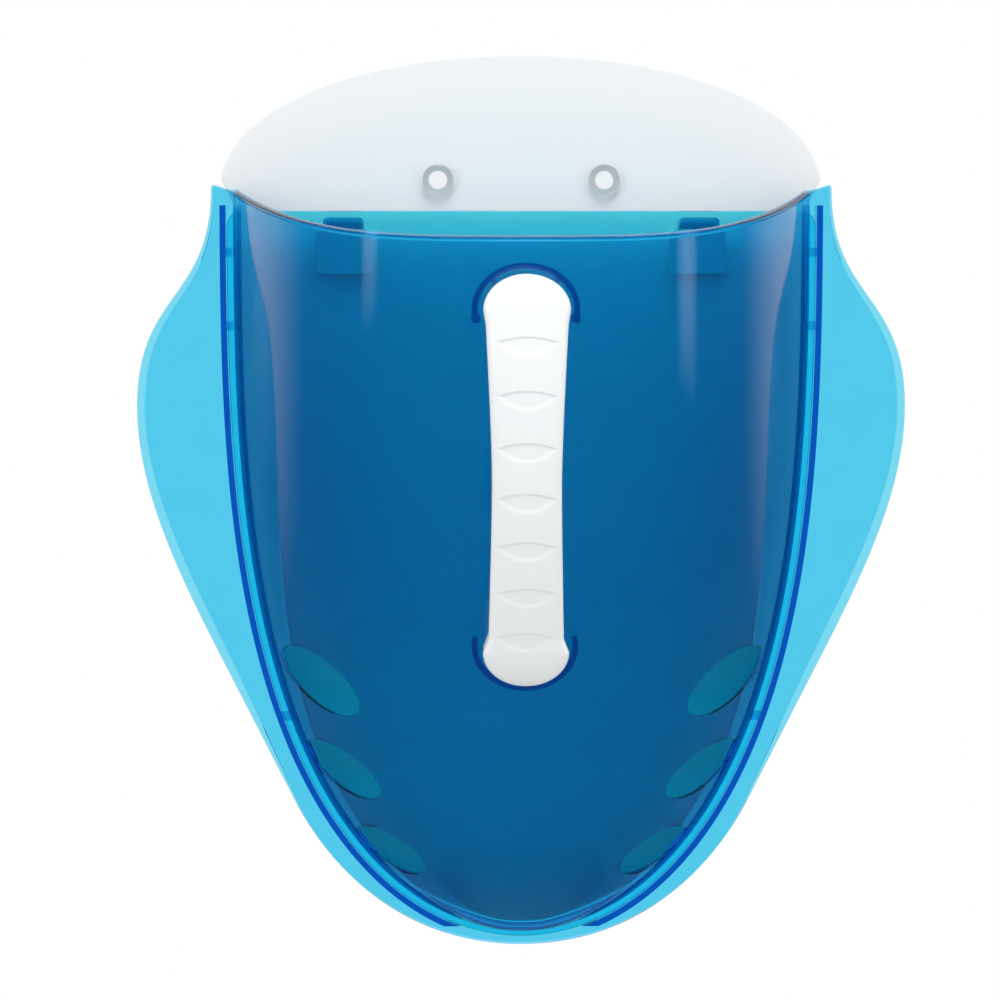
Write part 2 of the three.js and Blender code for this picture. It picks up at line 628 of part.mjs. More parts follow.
function frontShell() {
  const bead = bowl(RIM_BEAD_PROUD, flangeBack).intersect(aboveRim(RIM_BEAD_HEIGHT));
  const cup = bowl(0, flangeBack).add(bead).subtract(aboveRim(0));
  const edge = frontPrism(wingOutline(0, 0), flangeBack, flangeBack + EDGE_THICKNESS);
  const plate = frontPrism(wingOutline(EDGE_BAND, CORNER_BAND), flangeBack, flangeFront);
  const ribEnd = dropAt(RIB_END_X, ribOutside);
  const ribs = [-1, 1].map((side) => {
    const band = edgeBand(side, ribInside, ribOutside, RIB_TOP_DROP, ribEnd);
    return frontPrism(band, ribBack, flangeFront - GAP);
  });
  const collarBounds = bowl(COLLAR_PROUD, flangeBack);
  const collarDeep = flangeFront + BOWL_DEPTH / 3;
  const collarFar = flangeFront + BOWL_DEPTH + 2 * COLLAR_PROUD;
  const raised = [collarShape(upperFootZ, 1), collarShape(lowerFootZ, -1), ...GUSSET_ANGLES.map(gusset)];
  const collars = raised.map((shape) => frontPrism(shape, collarDeep, collarFar).intersect(collarBounds));
  const inside = bowl(-WALL, flangeBack - OVERCUT);
  let solid = joined([cup, edge, plate, ...ribs, ...collars]).subtract(inside);
  screws.forEach(({ x, z, seat }) => {
    const pad = bore(x, z, PAD_RADIUS, seat, seat + PAD_PROUD + WALL + OVERCUT);
    solid = solid.add(pad.intersect(bowl(-WALL / 2, flangeBack)));
  });
  const lugFront = panelBack - GAP;
  const lugBack = lugFront - LUG_DEPTH;
  const lugIn = ribInside - PANEL_PLAY - LUG_PROUD;
  const lugOut = ribInside + RIB_THICKNESS / 2;
  const drainTo = flangeFront + BOWL_DEPTH + OVERCUT;
  [-1, 1].forEach((side) => {
    LUG_DROPS.forEach((drop) => {
      const lug = edgeBand(side, lugIn, lugOut, drop, drop + LUG_LENGTH);
      solid = solid.add(frontPrism(lug, lugBack, lugFront));
    });
    DRAINS.forEach((drain) => {
      solid = solid.subtract(frontPrism(drainShape(drain, side), flangeFront + OVERCUT, drainTo));
    });
  });
  return screwHoles(solid);
}

function handleHalves() {
  const reach = faceOut(upperFootZ) + HANDLE_REACH;
  const hollowTop = upperFootZ - FOOT_INNER - INNER_ROUND;
  const hollowLow = lowerFootZ + FOOT_INNER + INNER_ROUND;
  const hollowFront = faceLine(HANDLE_WALL + MARK_DEPTH, hollowTop, hollowLow);
  const hollowRear = faceLine(HANDLE_THICKNESS - HANDLE_WALL, hollowLow, hollowTop);
  const cavity = sidePrism(polygon([...hollowFront, ...hollowRear]), WAIST_HALF_WIDTH - HANDLE_WALL);
  const profile = sidePrism(handleProfile(), 2 * FOOT_HALF_WIDTH);
  const whole = profile
    .intersect(frontPrism(handleOutline(), flangeFront, reach))
    .subtract(bowl(GAP, flangeBack))
    .subtract(cavity);
  const cut = screwHoles(whole);
  let grip = cut.intersect(beforeSplit(0));
  const belowMarks = profile.subtract(beforeSplit(MARK_DEPTH - HANDLE_SPLIT));
  for (let i = 0; i < MARK_COUNT; i += 1) {
    const below = MARK_START + i * MARK_PITCH - (MARK_CLOSING * i * (i - 1)) / 2;
    const z = upperFootZ - below;
    const mark = frontPrism(markShape(z), faceOut(lowerFootZ) - HANDLE_SPLIT, reach);
    grip = grip.subtract(mark.subtract(belowMarks));
  }
  return { grip, back: cut.subtract(beforeSplit(GAP)) };
}

function screw({ x, z, seat, tip }) {
  const under = seat - GAP;
  const head = under - SCREW_HEAD_THICKNESS;
  return turned(
    [
      [0, head],
      [SCREW_CROWN_RADIUS, head],
      [SCREW_HEAD_RADIUS, under - SCREW_HEAD_SIDE],
      [SCREW_HEAD_RADIUS, under],
      [SCREW_RADIUS, under],
      [SCREW_RADIUS, tip - SCREW_POINT],
      [0, tip],
    ],
    x,
    z,
  );
}

const bluePlastic = () => new THREE.MeshStandardMaterial({ color: 0x0f86d2, roughness: 0.14, metalness: 0 });
const whitePlastic = () => new THREE.MeshStandardMaterial({ color: 0xf1f4f5, roughness: 0.3, metalness: 0 });
const clearVinyl = () => new THREE.MeshStandardMaterial({ color: 0xd9e4e6, roughness: 0.12, metalness: 0 });
const steel = () => new THREE.MeshStandardMaterial({ color: 0xb9bcc0, roughness: 0.35, metalness: 1 });

function piece(name, solid, material) {
  const mesh = new THREE.Mesh(toGeometry(solid), material);
  mesh.name = name;
  return mesh;
}

const wallMount = new THREE.Group();
wallMount.name = 'wall_mount';
wallMount.add(piece('wall_bracket', wallBracket(), whitePlastic()));
cups.forEach(({ name, x, z }) => wallMount.add(piece(name, suctionCup(x, z), clearVinyl())));

const scoop = new THREE.Group();
scoop.name = 'scoop';
const handle = handleHalves();
scoop.add(piece('front_shell', frontShell(), bluePlastic()));
scoop.add(piece('back_panel', backPanel(), bluePlastic()));
scoop.add(piece('handle_grip', handle.grip, whitePlastic()));
scoop.add(piece('handle_back', handle.back, whitePlastic()));
screws.forEach((place) => scoop.add(piece(place.name, screw(place), steel())));

const organizer = new THREE.Group();
organizer.name = 'bath_toy_organizer';
organizer.add(wallMount, scoop);

export default organizer;
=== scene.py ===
import math

import bmesh
import bpy
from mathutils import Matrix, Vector


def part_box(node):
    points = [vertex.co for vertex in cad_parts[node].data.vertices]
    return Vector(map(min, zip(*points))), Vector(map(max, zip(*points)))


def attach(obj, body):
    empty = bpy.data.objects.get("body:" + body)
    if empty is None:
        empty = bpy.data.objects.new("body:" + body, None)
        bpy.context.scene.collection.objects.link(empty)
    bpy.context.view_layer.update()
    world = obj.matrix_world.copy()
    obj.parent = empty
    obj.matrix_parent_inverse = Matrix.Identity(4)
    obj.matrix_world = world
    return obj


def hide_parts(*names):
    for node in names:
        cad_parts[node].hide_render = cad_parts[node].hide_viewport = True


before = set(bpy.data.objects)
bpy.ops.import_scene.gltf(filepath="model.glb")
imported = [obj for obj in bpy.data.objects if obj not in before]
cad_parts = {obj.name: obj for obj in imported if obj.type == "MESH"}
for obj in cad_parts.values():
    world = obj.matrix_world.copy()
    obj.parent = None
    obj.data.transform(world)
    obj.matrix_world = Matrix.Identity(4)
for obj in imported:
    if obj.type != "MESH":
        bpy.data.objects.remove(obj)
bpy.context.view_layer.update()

# Wall bracket
# A tall plate of white ABS, moulded in one shot, with a lip turned back round its edge. It arches above the
# scoop and narrows behind it. Three clear cups hold it on the wall, and two open-topped pockets on its front
# take the hooks of the scoop.
MM = 0.001  # sizes are in millimetres, the wall is the plane y = 0, and "out" is the distance out from it
GAP = 0.3
OVERCUT = 5
WELD_DISTANCE = 0.0001
SIDES = (-1, 1)
ROUND_STEPS = 5
CIRCLE_STEPS = 64
BRACKET_BACK = 9
BRACKET_FRONT = 12
LIP_BACK = 2
LIP_WIDTH = 2.5
LIP_SOFTNESS = 0.4
BRACKET_SOFTNESS = 1.1
BRACKET_CREASE = 35
BRACKET_TUCK = 6
BRACKET_EASE = 10
ARCH_STEPS = 96
PATH_STEPS = 72
BOWL_HALF_WIDTH = 129.2
BOWL_HEIGHT = 337.2
OUTLINE_POWER = 3.08
CORNER_Z = -2
HOOK_X = 80
POCKET_INSIDE = 9.8
POCKET_OUTSIDE = 12.3
POCKET_FLOOR = -39.8
POCKET_TOP = -22.3
POCKET_WALL = 2.5
POCKET_ROOT = 10
POCKET_DEPTH = 5
POCKET_CORNER = 2.2
POCKET_SOFTNESS = 0.6
SLOT_CORNER = 1
SLOT_SOFTNESS = 0.2
NECK_RADIUS = 3.8
UPPER_CUP_X = 37.5
LOWER_CUP_BELOW = 130
FLOW_SIZE = 45
POLISH_SIZE = 9
GRAIN_SIZE = 0.7
GRAIN_DEPTH = 0.06
bracket_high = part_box("wall_bracket")[1] / MM


def stack(name, rings):
    """A closed piece through a stack of closed rings, each a list of (x, out, z) points."""
    count = len(rings[0])
    points = [(x * MM, -out * MM, z * MM) for ring in rings for x, out, z in ring]
    faces = [range(count), range(len(points) - count, len(points))]
    for low in range(0, len(points) - count, count):
        for i in range(count):
            j = (i + 1) % count
            faces.append((low + i, low + j, low + count + j, low + count + i))
    mesh = bpy.data.meshes.new(name)
    mesh.from_pydata(points, [], [list(face) for face in faces])
    shape = bmesh.new()
    shape.from_mesh(mesh)
    bmesh.ops.remove_doubles(shape, verts=shape.verts, dist=WELD_DISTANCE * MM)
    bmesh.ops.recalc_face_normals(shape, faces=shape.faces)
    shape.to_mesh(mesh)
    shape.free()
    piece = bpy.data.objects.new(name, mesh)
    bpy.context.scene.collection.objects.link(piece)
    return piece


def lift(outline, out):
    """An outline seen from the front, as a ring at one distance from the wall."""
    return [(x, out, z) for x, z in outline]


def quarter(radius):
    """A quarter round as pairs of how far in from the side and how far below the face it is."""
    angles = [math.pi / 2 * i / ROUND_STEPS for i in range(ROUND_STEPS + 1)]
    return [(radius * (1 - math.cos(a)), radius * (1 - math.sin(a))) for a in angles]


def plate(name, outline, back, front, softness):
    """A flat piece with soft edges. outline(band) draws it a band's width inside its edge."""
    edge = quarter(softness)
    rings = [lift(outline(2 * softness), back)]
    rings += [lift(outline(band), back + short) for band, short in reversed(edge)]
    rings += [lift(outline(band), front - short) for band, short in edge]
    rings.append(lift(outline(2 * softness), front))
    return stack(name, rings)


def block(name, x, z, back, front, corner, softness):
    """A block between pairs of x, z and out, with round corners as seen from the front."""
    def outline(band):
        points = []
        for turn, (edge_x, edge_z) in enumerate([(x[1], z[1]), (x[0], z[1]), (x[0], z[0]), (x[1], z[0])]):
            centre_x = edge_x - math.copysign(corner, edge_x - sum(x) / 2)
            centre_z = edge_z - math.copysign(corner, edge_z - sum(z) / 2)
            for i in range(ROUND_STEPS + 1):
                angle = math.pi / 2 * (turn + i / ROUND_STEPS)
                reach = corner - band
                points.append((centre_x + reach * math.cos(angle), centre_z + reach * math.sin(angle)))
        return points
    return plate(name, outline, back, front, softness)


def circle(radius, x=0, z=0, steps=CIRCLE_STEPS):
    """Points round a circle seen from the front."""
    turns = [2 * math.pi * i / steps for i in range(steps)]
    return [(x + radius * math.cos(turn), z + radius * math.sin(turn)) for turn in turns]


def rod(name, x, z, radius, back, front):
    """A round bar straight out from the wall."""
    return stack(name, [lift(circle(radius, x, z), out) for out in (back, front)])


def settle(piece):
    """Turns what a piece's modifiers make into its plain mesh."""
    graph = bpy.context.evaluated_depsgraph_get()
    mesh = bpy.data.meshes.new_from_object(piece.evaluated_get(graph))
    piece.modifiers.clear()
    piece.data = mesh
    return piece


def combine(piece, operation, others):
    """Joins other solids to a piece, cuts them from it or keeps what they share."""
    for other in others:
        step = piece.modifiers.new(other.name, "BOOLEAN")
        step.operation = operation
        step.solver = "MANIFOLD"
        step.object = other
    settle(piece)
    for other in others:
        bpy.data.objects.remove(other)
    return piece


def shade(piece, degrees):
    """Smooth shading that keeps the edges sharper than an angle crisp."""
    piece.data.polygons.foreach_set("use_smooth", [True] * len(piece.data.polygons))
    piece.data.set_sharp_from_angle(angle=math.radians(degrees))


def half_width(drop, grow=0):
    """Half width of the bowl's edge at a drop below the scoop's upper corners, grown on all sides."""
    share = min(max(drop / (BOWL_HEIGHT + grow), 0), 1)
    return (BOWL_HALF_WIDTH + grow) * math.sqrt(1 - share ** OUTLINE_POWER)


def drops_between(start, end):
    """Drops from one to another, crowded towards the end."""
    walk = [1 - (1 - i / PATH_STEPS) ** 2 for i in range(PATH_STEPS + 1)]
    return [start + (end - start) * step for step in walk]


def side_line(ring, start):
    """Points down the right side of a plate whose edge is a ring round the bowl's edge, from a drop on."""
    drops = drops_between(start, BOWL_HEIGHT + ring)
    return [(half_width(drop, ring), CORNER_Z - drop) for drop in drops]


def bracket_outline(band):
    """An arch over the scoop and two sides drawn in behind it, a band inside the plate's edge."""
    width = bracket_high.x - band
    rise = bracket_high.z - band
    right = side_line(width - BOWL_HALF_WIDTH - BRACKET_TUCK, BRACKET_EASE)
    left = [(-x, z) for x, z in reversed(right[:-1])]
    turns = [math.pi * (1 - i / ARCH_STEPS) for i in range(ARCH_STEPS + 1)]
    return right + left + [(width * math.cos(turn), rise * math.sin(turn)) for turn in turns]


lip_rings = [
    (LIP_WIDTH, BRACKET_BACK),
    (LIP_WIDTH, LIP_BACK + LIP_SOFTNESS),
    (LIP_WIDTH - LIP_SOFTNESS, LIP_BACK),
    (LIP_SOFTNESS, LIP_BACK),
    (0, LIP_BACK + LIP_SOFTNESS),
]
front_rings = [(band, BRACKET_FRONT - short) for band, short in quarter(BRACKET_SOFTNESS)]
front_rings.append((2 * BRACKET_SOFTNESS, BRACKET_FRONT))
bracket = stack("bracket_plate", [lift(bracket_outline(band), out) for band, out in lip_rings + front_rings])
pockets = []
slots = []
for side in SIDES:
    outer_x = (side * HOOK_X - POCKET_OUTSIDE, side * HOOK_X + POCKET_OUTSIDE)
    inner_x = (side * HOOK_X - POCKET_INSIDE, side * HOOK_X + POCKET_INSIDE)
    outer_z = (POCKET_FLOOR - POCKET_WALL, POCKET_TOP)
    inner_z = (POCKET_FLOOR, POCKET_TOP + OVERCUT)
    pocket_front = BRACKET_FRONT + POCKET_DEPTH + POCKET_WALL
    slot_front = BRACKET_FRONT + POCKET_DEPTH
    pockets.append(
        block("pocket", outer_x, outer_z, POCKET_ROOT, pocket_front, POCKET_CORNER, POCKET_SOFTNESS)
    )
    slots.append(block("slot", inner_x, inner_z, BRACKET_FRONT, slot_front, SLOT_CORNER, SLOT_SOFTNESS))
cup_places = [(-UPPER_CUP_X, 0), (UPPER_CUP_X, 0), (0, -LOWER_CUP_BELOW)]
holes = [rod("hole", x, z, NECK_RADIUS + GAP, 0, BRACKET_FRONT + OVERCUT) for x, z in cup_places]
combine(bracket, "UNION", pockets)
combine(bracket, "DIFFERENCE", slots + holes)
shade(bracket, BRACKET_CREASE)


def linear(text):
    """The linear colour of an sRGB hex value."""
    values = [int(text[i:i + 2], 16) / 255 for i in (1, 3, 5)]
    return (*(v / 12.92 if v <= 0.04045 else ((v + 0.055) / 1.055) ** 2.4 for v in values), 1)


def add(tree, kind, inputs=(), **settings):
    """Adds a node with its settings. Each input is a value, a socket that feeds it, or a list of sockets."""
    node = tree.nodes.new(kind)
    for name, value in settings.items():
        setattr(node, name, value)
    for key, value in dict(inputs).items():
        for source in value if isinstance(value, list) else [value]:
            if isinstance(source, bpy.types.NodeSocket):
                tree.links.new(source, node.inputs[key])
            else:
                node.inputs[key].default_value = source
    return node


def new_material(name):
    """A new material, its empty node tree and the coordinates of the piece."""
    material = bpy.data.materials.new(name)
    material.use_nodes = True
    material.node_tree.nodes.clear()
    return material, material.node_tree, add(material.node_tree, "ShaderNodeTexCoord").outputs["Object"]


# Moulded white ABS: a clean satin gloss, with faint cloudy flow in the white, a slightly uneven polish and a
# very fine mould grain, drawn at 0.7 mm so that it shows.
white_abs, tree, place = new_material("moulded_white_ABS")
flow = add(tree, "ShaderNodeTexNoise", {"Vector": place, "Scale": 1 / (FLOW_SIZE * MM), "Detail": 2.0})
polish = add(tree, "ShaderNodeTexNoise", {"Vector": place, "Scale": 1 / (POLISH_SIZE * MM), "Detail": 3.0})
grain = add(tree, "ShaderNodeTexNoise", {"Vector": place, "Scale": 1 / (GRAIN_SIZE * MM), "Detail": 2.0})
white = add(
    tree,
    "ShaderNodeMix",
    {0: flow.outputs[0], 6: linear("#F1F3F3"), 7: linear("#ECF0F2")},
    data_type="RGBA",
)
satin = add(tree, "ShaderNodeMapRange", {0: polish.outputs[0], "To Min": 0.26, "To Max": 0.4})
skin = add(
    tree,
    "ShaderNodeBump",
    {"Height": grain.outputs[0], "Strength": 0.12, "Distance": GRAIN_DEPTH * MM},
)
shader = add(
    tree,
    "ShaderNodeBsdfPrincipled",
    {
        "Base Color": white.outputs[2],
        "Roughness": satin.outputs[0],
        "IOR": 1.53,
        "Normal": skin.outputs[0],
    },
)
add(tree, "ShaderNodeOutputMaterial", {"Surface": shader.outputs[0]})
bracket.data.materials.append(white_abs)  # lands in the second slot: the faces stay on an empty first one
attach(bracket, "wall_mount")
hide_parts("wall_bracket")

# Suction cups
# Three cups of clear soft PVC, cast in one mould. Each has a thin bell with a flat rim, a neck that is
# pulled through a hole in the bracket, and a domed head that keeps it there.
CUP_RADIUS = 22
CUP_RIM_INSIDE = 18
CUP_RIM_THICKNESS = 1.2
CUP_RIM_SOFTNESS = 0.4
CUP_DEPTH = 8.7
CUP_HOLLOW = 3
CUP_BELL = 1.15
CUP_HEAD_RADIUS = 7
CUP_HEAD_SIDE = 1.4
CUP_HEAD_THICKNESS = 3.2
CUP_HEAD_POWER = 4.5
CUP_STEPS = 12
CUP_CREASE = 40
POLE = 0.2
HAZE_SIZE = 4
WAVE_SIZE = 7
WAVE_DEPTH = 0.1

shares = [i / CUP_STEPS for i in range(CUP_STEPS + 1)]
neck_front = BRACKET_FRONT + GAP
dome_back = neck_front + CUP_HEAD_SIDE
dome_height = CUP_HEAD_THICKNESS - CUP_HEAD_SIDE
cup_profile = [(max(CUP_RIM_INSIDE * s, POLE), CUP_HOLLOW * (1 - s * s)) for s in shares]
cup_profile += [(CUP_RADIUS - CUP_RIM_SOFTNESS, 0), (CUP_RADIUS, CUP_RIM_SOFTNESS)]
cup_profile += [
    (
        CUP_RADIUS + (CUP_HEAD_RADIUS - CUP_RADIUS) * s,
        CUP_RIM_THICKNESS + (CUP_DEPTH - CUP_RIM_THICKNESS) * s ** CUP_BELL,
    )
    for s in shares
]
cup_profile += [(NECK_RADIUS, CUP_DEPTH), (NECK_RADIUS, neck_front)]
cup_profile += [
    (CUP_HEAD_RADIUS - CUP_RIM_SOFTNESS, neck_front),
    (CUP_HEAD_RADIUS, neck_front + CUP_RIM_SOFTNESS),
]
cup_profile += [
    (
        max(CUP_HEAD_RADIUS * math.cos(s * math.pi / 2) ** (2 / CUP_HEAD_POWER), POLE),
        dome_back + dome_height * math.sin(s * math.pi / 2) ** (2 / CUP_HEAD_POWER),
    )
    for s in shares
]
cups = stack("suction_cups", [lift(circle(radius), out) for radius, out in cup_profile])

# Clear soft PVC: water-clear with a faint grey-blue cast, a soft gloss and slight waves from the casting.
clear_pvc, tree, place = new_material("clear_soft_PVC")
haze = add(tree, "ShaderNodeTexNoise", {"Vector": place, "Scale": 1 / (HAZE_SIZE * MM), "Detail": 3.0})
wave = add(tree, "ShaderNodeTexNoise", {"Vector": place, "Scale": 1 / (WAVE_SIZE * MM), "Detail": 1.0})
tint = add(
    tree,
    "ShaderNodeMix",
    {0: haze.outputs[0], 6: linear("#FEFFFF"), 7: linear("#F8FBFC")},
    data_type="RGBA",
)
gloss = add(tree, "ShaderNodeMapRange", {0: haze.outputs[0], "To Min": 0.05, "To Max": 0.16})
skin = add(tree, "ShaderNodeBump", {"Height": wave.outputs[0], "Strength": 0.3, "Distance": WAVE_DEPTH * MM})
shader = add(
    tree,
    "ShaderNodeBsdfPrincipled",
    {
        "Base Color": tint.outputs[2],
        "Roughness": gloss.outputs[0],
        "IOR": 1.42,
        "Transmission Weight": 1.0,
        "Normal": skin.outputs[0],
    },
)
depth = add(tree, "ShaderNodeVolumeAbsorption", {"Color": linear("#C9DDE2"), "Density": 20.0})
add(tree, "ShaderNodeOutputMaterial", {"Surface": shader.outputs[0], "Volume": depth.outputs[0]})


def shape_tree(name, sizes):
    """A Geometry Nodes tree with a mesh and named sizes going in and a mesh coming out."""
    tree = bpy.data.node_groups.new(name, "GeometryNodeTree")
    tree.interface.new_socket("Mesh", in_out="INPUT", socket_type="NodeSocketGeometry")
    for size in sizes:
        tree.interface.new_socket(size, in_out="INPUT", socket_type="NodeSocketFloat")
    tree.interface.new_socket("Mesh", in_out="OUTPUT", socket_type="NodeSocketGeometry")
    return tree, add(tree, "NodeGroupInput").outputs


def close_tree(tree, mesh, material):
    """Ends a tree in plain geometry with its material."""
    whole = add(tree, "GeometryNodeRealizeInstances", {0: mesh})
    dressed = add(tree, "GeometryNodeSetMaterial", {0: whole.outputs[0], "Material": material})
    add(tree, "NodeGroupOutput", {0: dressed.outputs[0]})


def run_tree(piece, tree, sizes):
    """Runs a tree on a piece with its sizes and keeps the plain mesh that comes out."""
    modifier = piece.modifiers.new(tree.name, "NODES")
    modifier.node_group = tree
    for socket in tree.interface.items_tree:
        if socket.in_out == "INPUT" and socket.name in sizes:
            modifier[socket.identifier] = float(sizes[socket.name])
    return settle(piece)


def side_and_level(tree):
    """From a point's index, -1 or 1 for its side, and 0 or 1 for the upper or the lower pair."""
    index = add(tree, "GeometryNodeInputIndex").outputs[0]
    odd = add(tree, "ShaderNodeMath", {0: index, 1: 2.0}, operation="MODULO").outputs[0]
    side = add(tree, "ShaderNodeMath", {0: odd, 1: 2.0, 2: -1.0}, operation="MULTIPLY_ADD").outputs[0]
    half = add(tree, "ShaderNodeMath", {0: index, 1: 2.0}, operation="DIVIDE").outputs[0]
    level = add(tree, "ShaderNodeMath", {0: half}, operation="FLOOR").outputs[0]
    return side, level


cup_sizes = {
    "Upper X": UPPER_CUP_X * MM,
    "Lower Below": LOWER_CUP_BELOW * MM,
}
cup_tree, size = shape_tree("cups_on_bracket", cup_sizes)
side, level = side_and_level(cup_tree)
upper = add(cup_tree, "ShaderNodeMath", {0: 1.0, 1: level}, operation="SUBTRACT").outputs[0]
reach = add(cup_tree, "ShaderNodeMath", {0: size["Upper X"], 1: upper}, operation="MULTIPLY").outputs[0]
cup_x = add(cup_tree, "ShaderNodeMath", {0: reach, 1: side}, operation="MULTIPLY").outputs[0]
below = add(cup_tree, "ShaderNodeMath", {0: level, 1: size["Lower Below"]}, operation="MULTIPLY").outputs[0]
cup_z = add(cup_tree, "ShaderNodeMath", {0: below, 1: -1.0}, operation="MULTIPLY").outputs[0]
spot = add(cup_tree, "ShaderNodeCombineXYZ", {0: cup_x, 2: cup_z}).outputs[0]
spots = add(cup_tree, "GeometryNodePoints", {"Count": len(cup_places), "Position": spot}).outputs[0]
placed = add(cup_tree, "GeometryNodeInstanceOnPoints", {"Points": spots, "Instance": size["Mesh"]})
close_tree(cup_tree, placed.outputs[0], clear_pvc)
run_tree(cups, cup_tree, cup_sizes)
shade(cups, CUP_CREASE)
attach(cups, "wall_mount")
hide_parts("suction_cup_upper_left", "suction_cup_upper_right", "suction_cup_lower")

# Front shell
# The bowl of the scoop with its rim, wings and drain holes, the rib behind the flange and the two collars
# round the handle's feet: one large moulding of clear blue polypropylene.
FLANGE_BACK = 23.3
FLANGE_FRONT = 25.8
EDGE_THICKNESS = 1.6
EDGE_BAND = 4
CORNER_BAND = 1.2
EDGE_SOFTNESS = 0.5
STEP_WIDTH = 0.7
RIB_BACK = 12.8
RIB_INSIDE = 3.45
RIB_OUTSIDE = 6.15
RIB_TOP_DROP = 9.5
RIB_END_X = 35
CORNER_X = 139
CORNER_ROUND = 1.8
BOWL_DEPTH = 106
BOWL_TAPER = 26
PROFILE_POWER = 3
SECTION_POWER = 3.7
WALL = 2.5
RIM_DIP = 3
RIM_FALL = 24.3
RIM_SLOPE = (RIM_FALL - RIM_DIP) / BOWL_DEPTH
HEADROOM = 97.2
RIM_BEAD_HALF_WIDTH = 2
RIM_BEAD_HALF_HEIGHT = 1.1
RIM_BEAD_POWER = 4
RIM_BEAD_STEPS = 32
RIM_PASSES = 4
WING_REACH = 33.7
WING_DROP = 100
TAIL_DROP = 228
TAIL_LEDGE = 14.5
TAIL_END_DROP = 277
TAIL_END_LEDGE = 10.3
BOTTOM_LEDGE = 6.5
SHOULDER_FULLNESS = 0.52
WING_FULLNESS = 0.33
TAIL_FULLNESS = 0.52
BOTTOM_FULLNESS = 0.5
LUG_IN = 0.75
LUG_OUT = 4.8
LUG_BACK = 17.6
LUG_FRONT = 20.2
LUG_LENGTH = 4
LUG_DROPS = (28.5, 61.5, 238)
UPPER_FOOT_Z = -56.5
LOWER_FOOT_Z = -201
FOOT_HALF_WIDTH = 18.2
FOOT_CAP = 15
COLLAR_GAP = 2.2
COLLAR_WALL = 2.4
COLLAR_PROUD = 6
COLLAR_OVERRUN = 12
COLLAR_END_RADIUS = 2.1
GUSSET_WIDTH = 1.6
GUSSET_ANGLES = (48, 134)
SCREW_X = 8
SCREW_HOLE_RADIUS = 2.2
SCREW_HOLE_REACH = 15
PAD_RADIUS = 5.4
PAD_PROUD = 2
PAD_LENGTH = 8
BOWL_ROWS = 150
BOWL_COLUMNS = 161
BOWL_WELD = 0.001
CURVE_STEPS = 28
TAIL_STEPS = 7
DRAIN_STEPS = 112
SHELL_CREASE = 32
WIPE_SIZE = 14
RIPPLE_SIZE = 30
RIPPLE_DEPTH = 0.15
DRAINS = (
    {"Along": 0.6495, "Across": 0.8034, "Long": 20.6 * MM, "Short": 9.6 * MM, "Slope": math.radians(37.5)},
    {"Along": 0.7695, "Across": 0.8251, "Long": 19 * MM, "Short": 8.2 * MM, "Slope": math.radians(32.5)},
    {"Along": 0.8792, "Across": 0.7887, "Long": 17 * MM, "Short": 7.3 * MM, "Slope": math.radians(29)},
)


def blue_polypropylene(name, colour, pigment):
    """Clear polypropylene with a blue pigment, the stronger the deeper."""
    material, tree, place = new_material(name)
    wipe = add(tree, "ShaderNodeTexNoise", {"Vector": place, "Scale": 1 / (WIPE_SIZE * MM), "Detail": 4.0})
    ripple = add(
        tree,
        "ShaderNodeTexNoise",
        {"Vector": place, "Scale": 1 / (RIPPLE_SIZE * MM), "Detail": 1.0},
    )
    tint = add(
        tree,
        "ShaderNodeMix",
        {0: wipe.outputs[0], 6: linear("#FBFDFE"), 7: linear("#F0F8FC")},
        data_type="RGBA",
    )
    gloss = add(tree, "ShaderNodeMapRange", {0: wipe.outputs[0], "To Min": 0.02, "To Max": 0.07})
    skin = add(
        tree,
        "ShaderNodeBump",
        {"Height": ripple.outputs[0], "Strength": 0.25, "Distance": RIPPLE_DEPTH * MM},
    )
    shader = add(
        tree,
        "ShaderNodeBsdfPrincipled",
        {
            "Base Color": tint.outputs[2],
            "Roughness": gloss.outputs[0],
            "IOR": 1.41,
            "Transmission Weight": 1.0,
            "Normal": skin.outputs[0],
        },
    )
    depth = add(tree, "ShaderNodeVolumeAbsorption", {"Color": linear(colour), "Density": pigment})
    add(tree, "ShaderNodeOutputMaterial", {"Surface": shader.outputs[0], "Volume": depth.outputs[0]})
    return material


# Clear blue polypropylene: tinted right through, so it is pale in the thin wings, deep where the light
# crosses both walls and nearly navy along the rib. The mould leaves a high gloss with faint slow waves.
blue_pp = blue_polypropylene("clear_blue_polypropylene", colour="#41E9F9", pigment=985.0)

# The bowl follows one rule: out = flange + depth(drop) * (1 - |x / half width(drop)| ^ section power)
bowl_sizes = {
    "Half Width": BOWL_HALF_WIDTH * MM,
    "Height": BOWL_HEIGHT * MM,
    "Depth": BOWL_DEPTH * MM,
    "Taper": BOWL_TAPER * MM,
    "Outline Power": OUTLINE_POWER,
    "Profile Power": PROFILE_POWER,
    "Section Power": SECTION_POWER,
    "Flange Out": FLANGE_FRONT * MM,
    "Corner Z": CORNER_Z * MM,
    "Headroom": HEADROOM * MM,
    "Grow": 0,
    "Back": 0,
}
bowl_tree, size = shape_tree("filled_bowl", bowl_sizes)
grid = add(
    bowl_tree,
    "GeometryNodeMeshGrid",
    {"Size X": 2.0, "Size Y": 1.0, "Vertices X": BOWL_COLUMNS, "Vertices Y": BOWL_ROWS},
).outputs[0]
here = add(bowl_tree, "GeometryNodeInputPosition").outputs[0]
axes = add(bowl_tree, "ShaderNodeSeparateXYZ", {0: here}).outputs
turn = add(bowl_tree, "ShaderNodeMath", {0: axes[0], 1: math.pi / 2}, operation="MULTIPLY").outputs[0]
across = add(bowl_tree, "ShaderNodeMath", {0: turn}, operation="SINE").outputs[0]
up = add(bowl_tree, "ShaderNodeMath", {0: axes[1], 1: 0.5}, operation="ADD").outputs[0]
crowd = add(bowl_tree, "ShaderNodeMath", {0: up, 1: up}, operation="MULTIPLY").outputs[0]
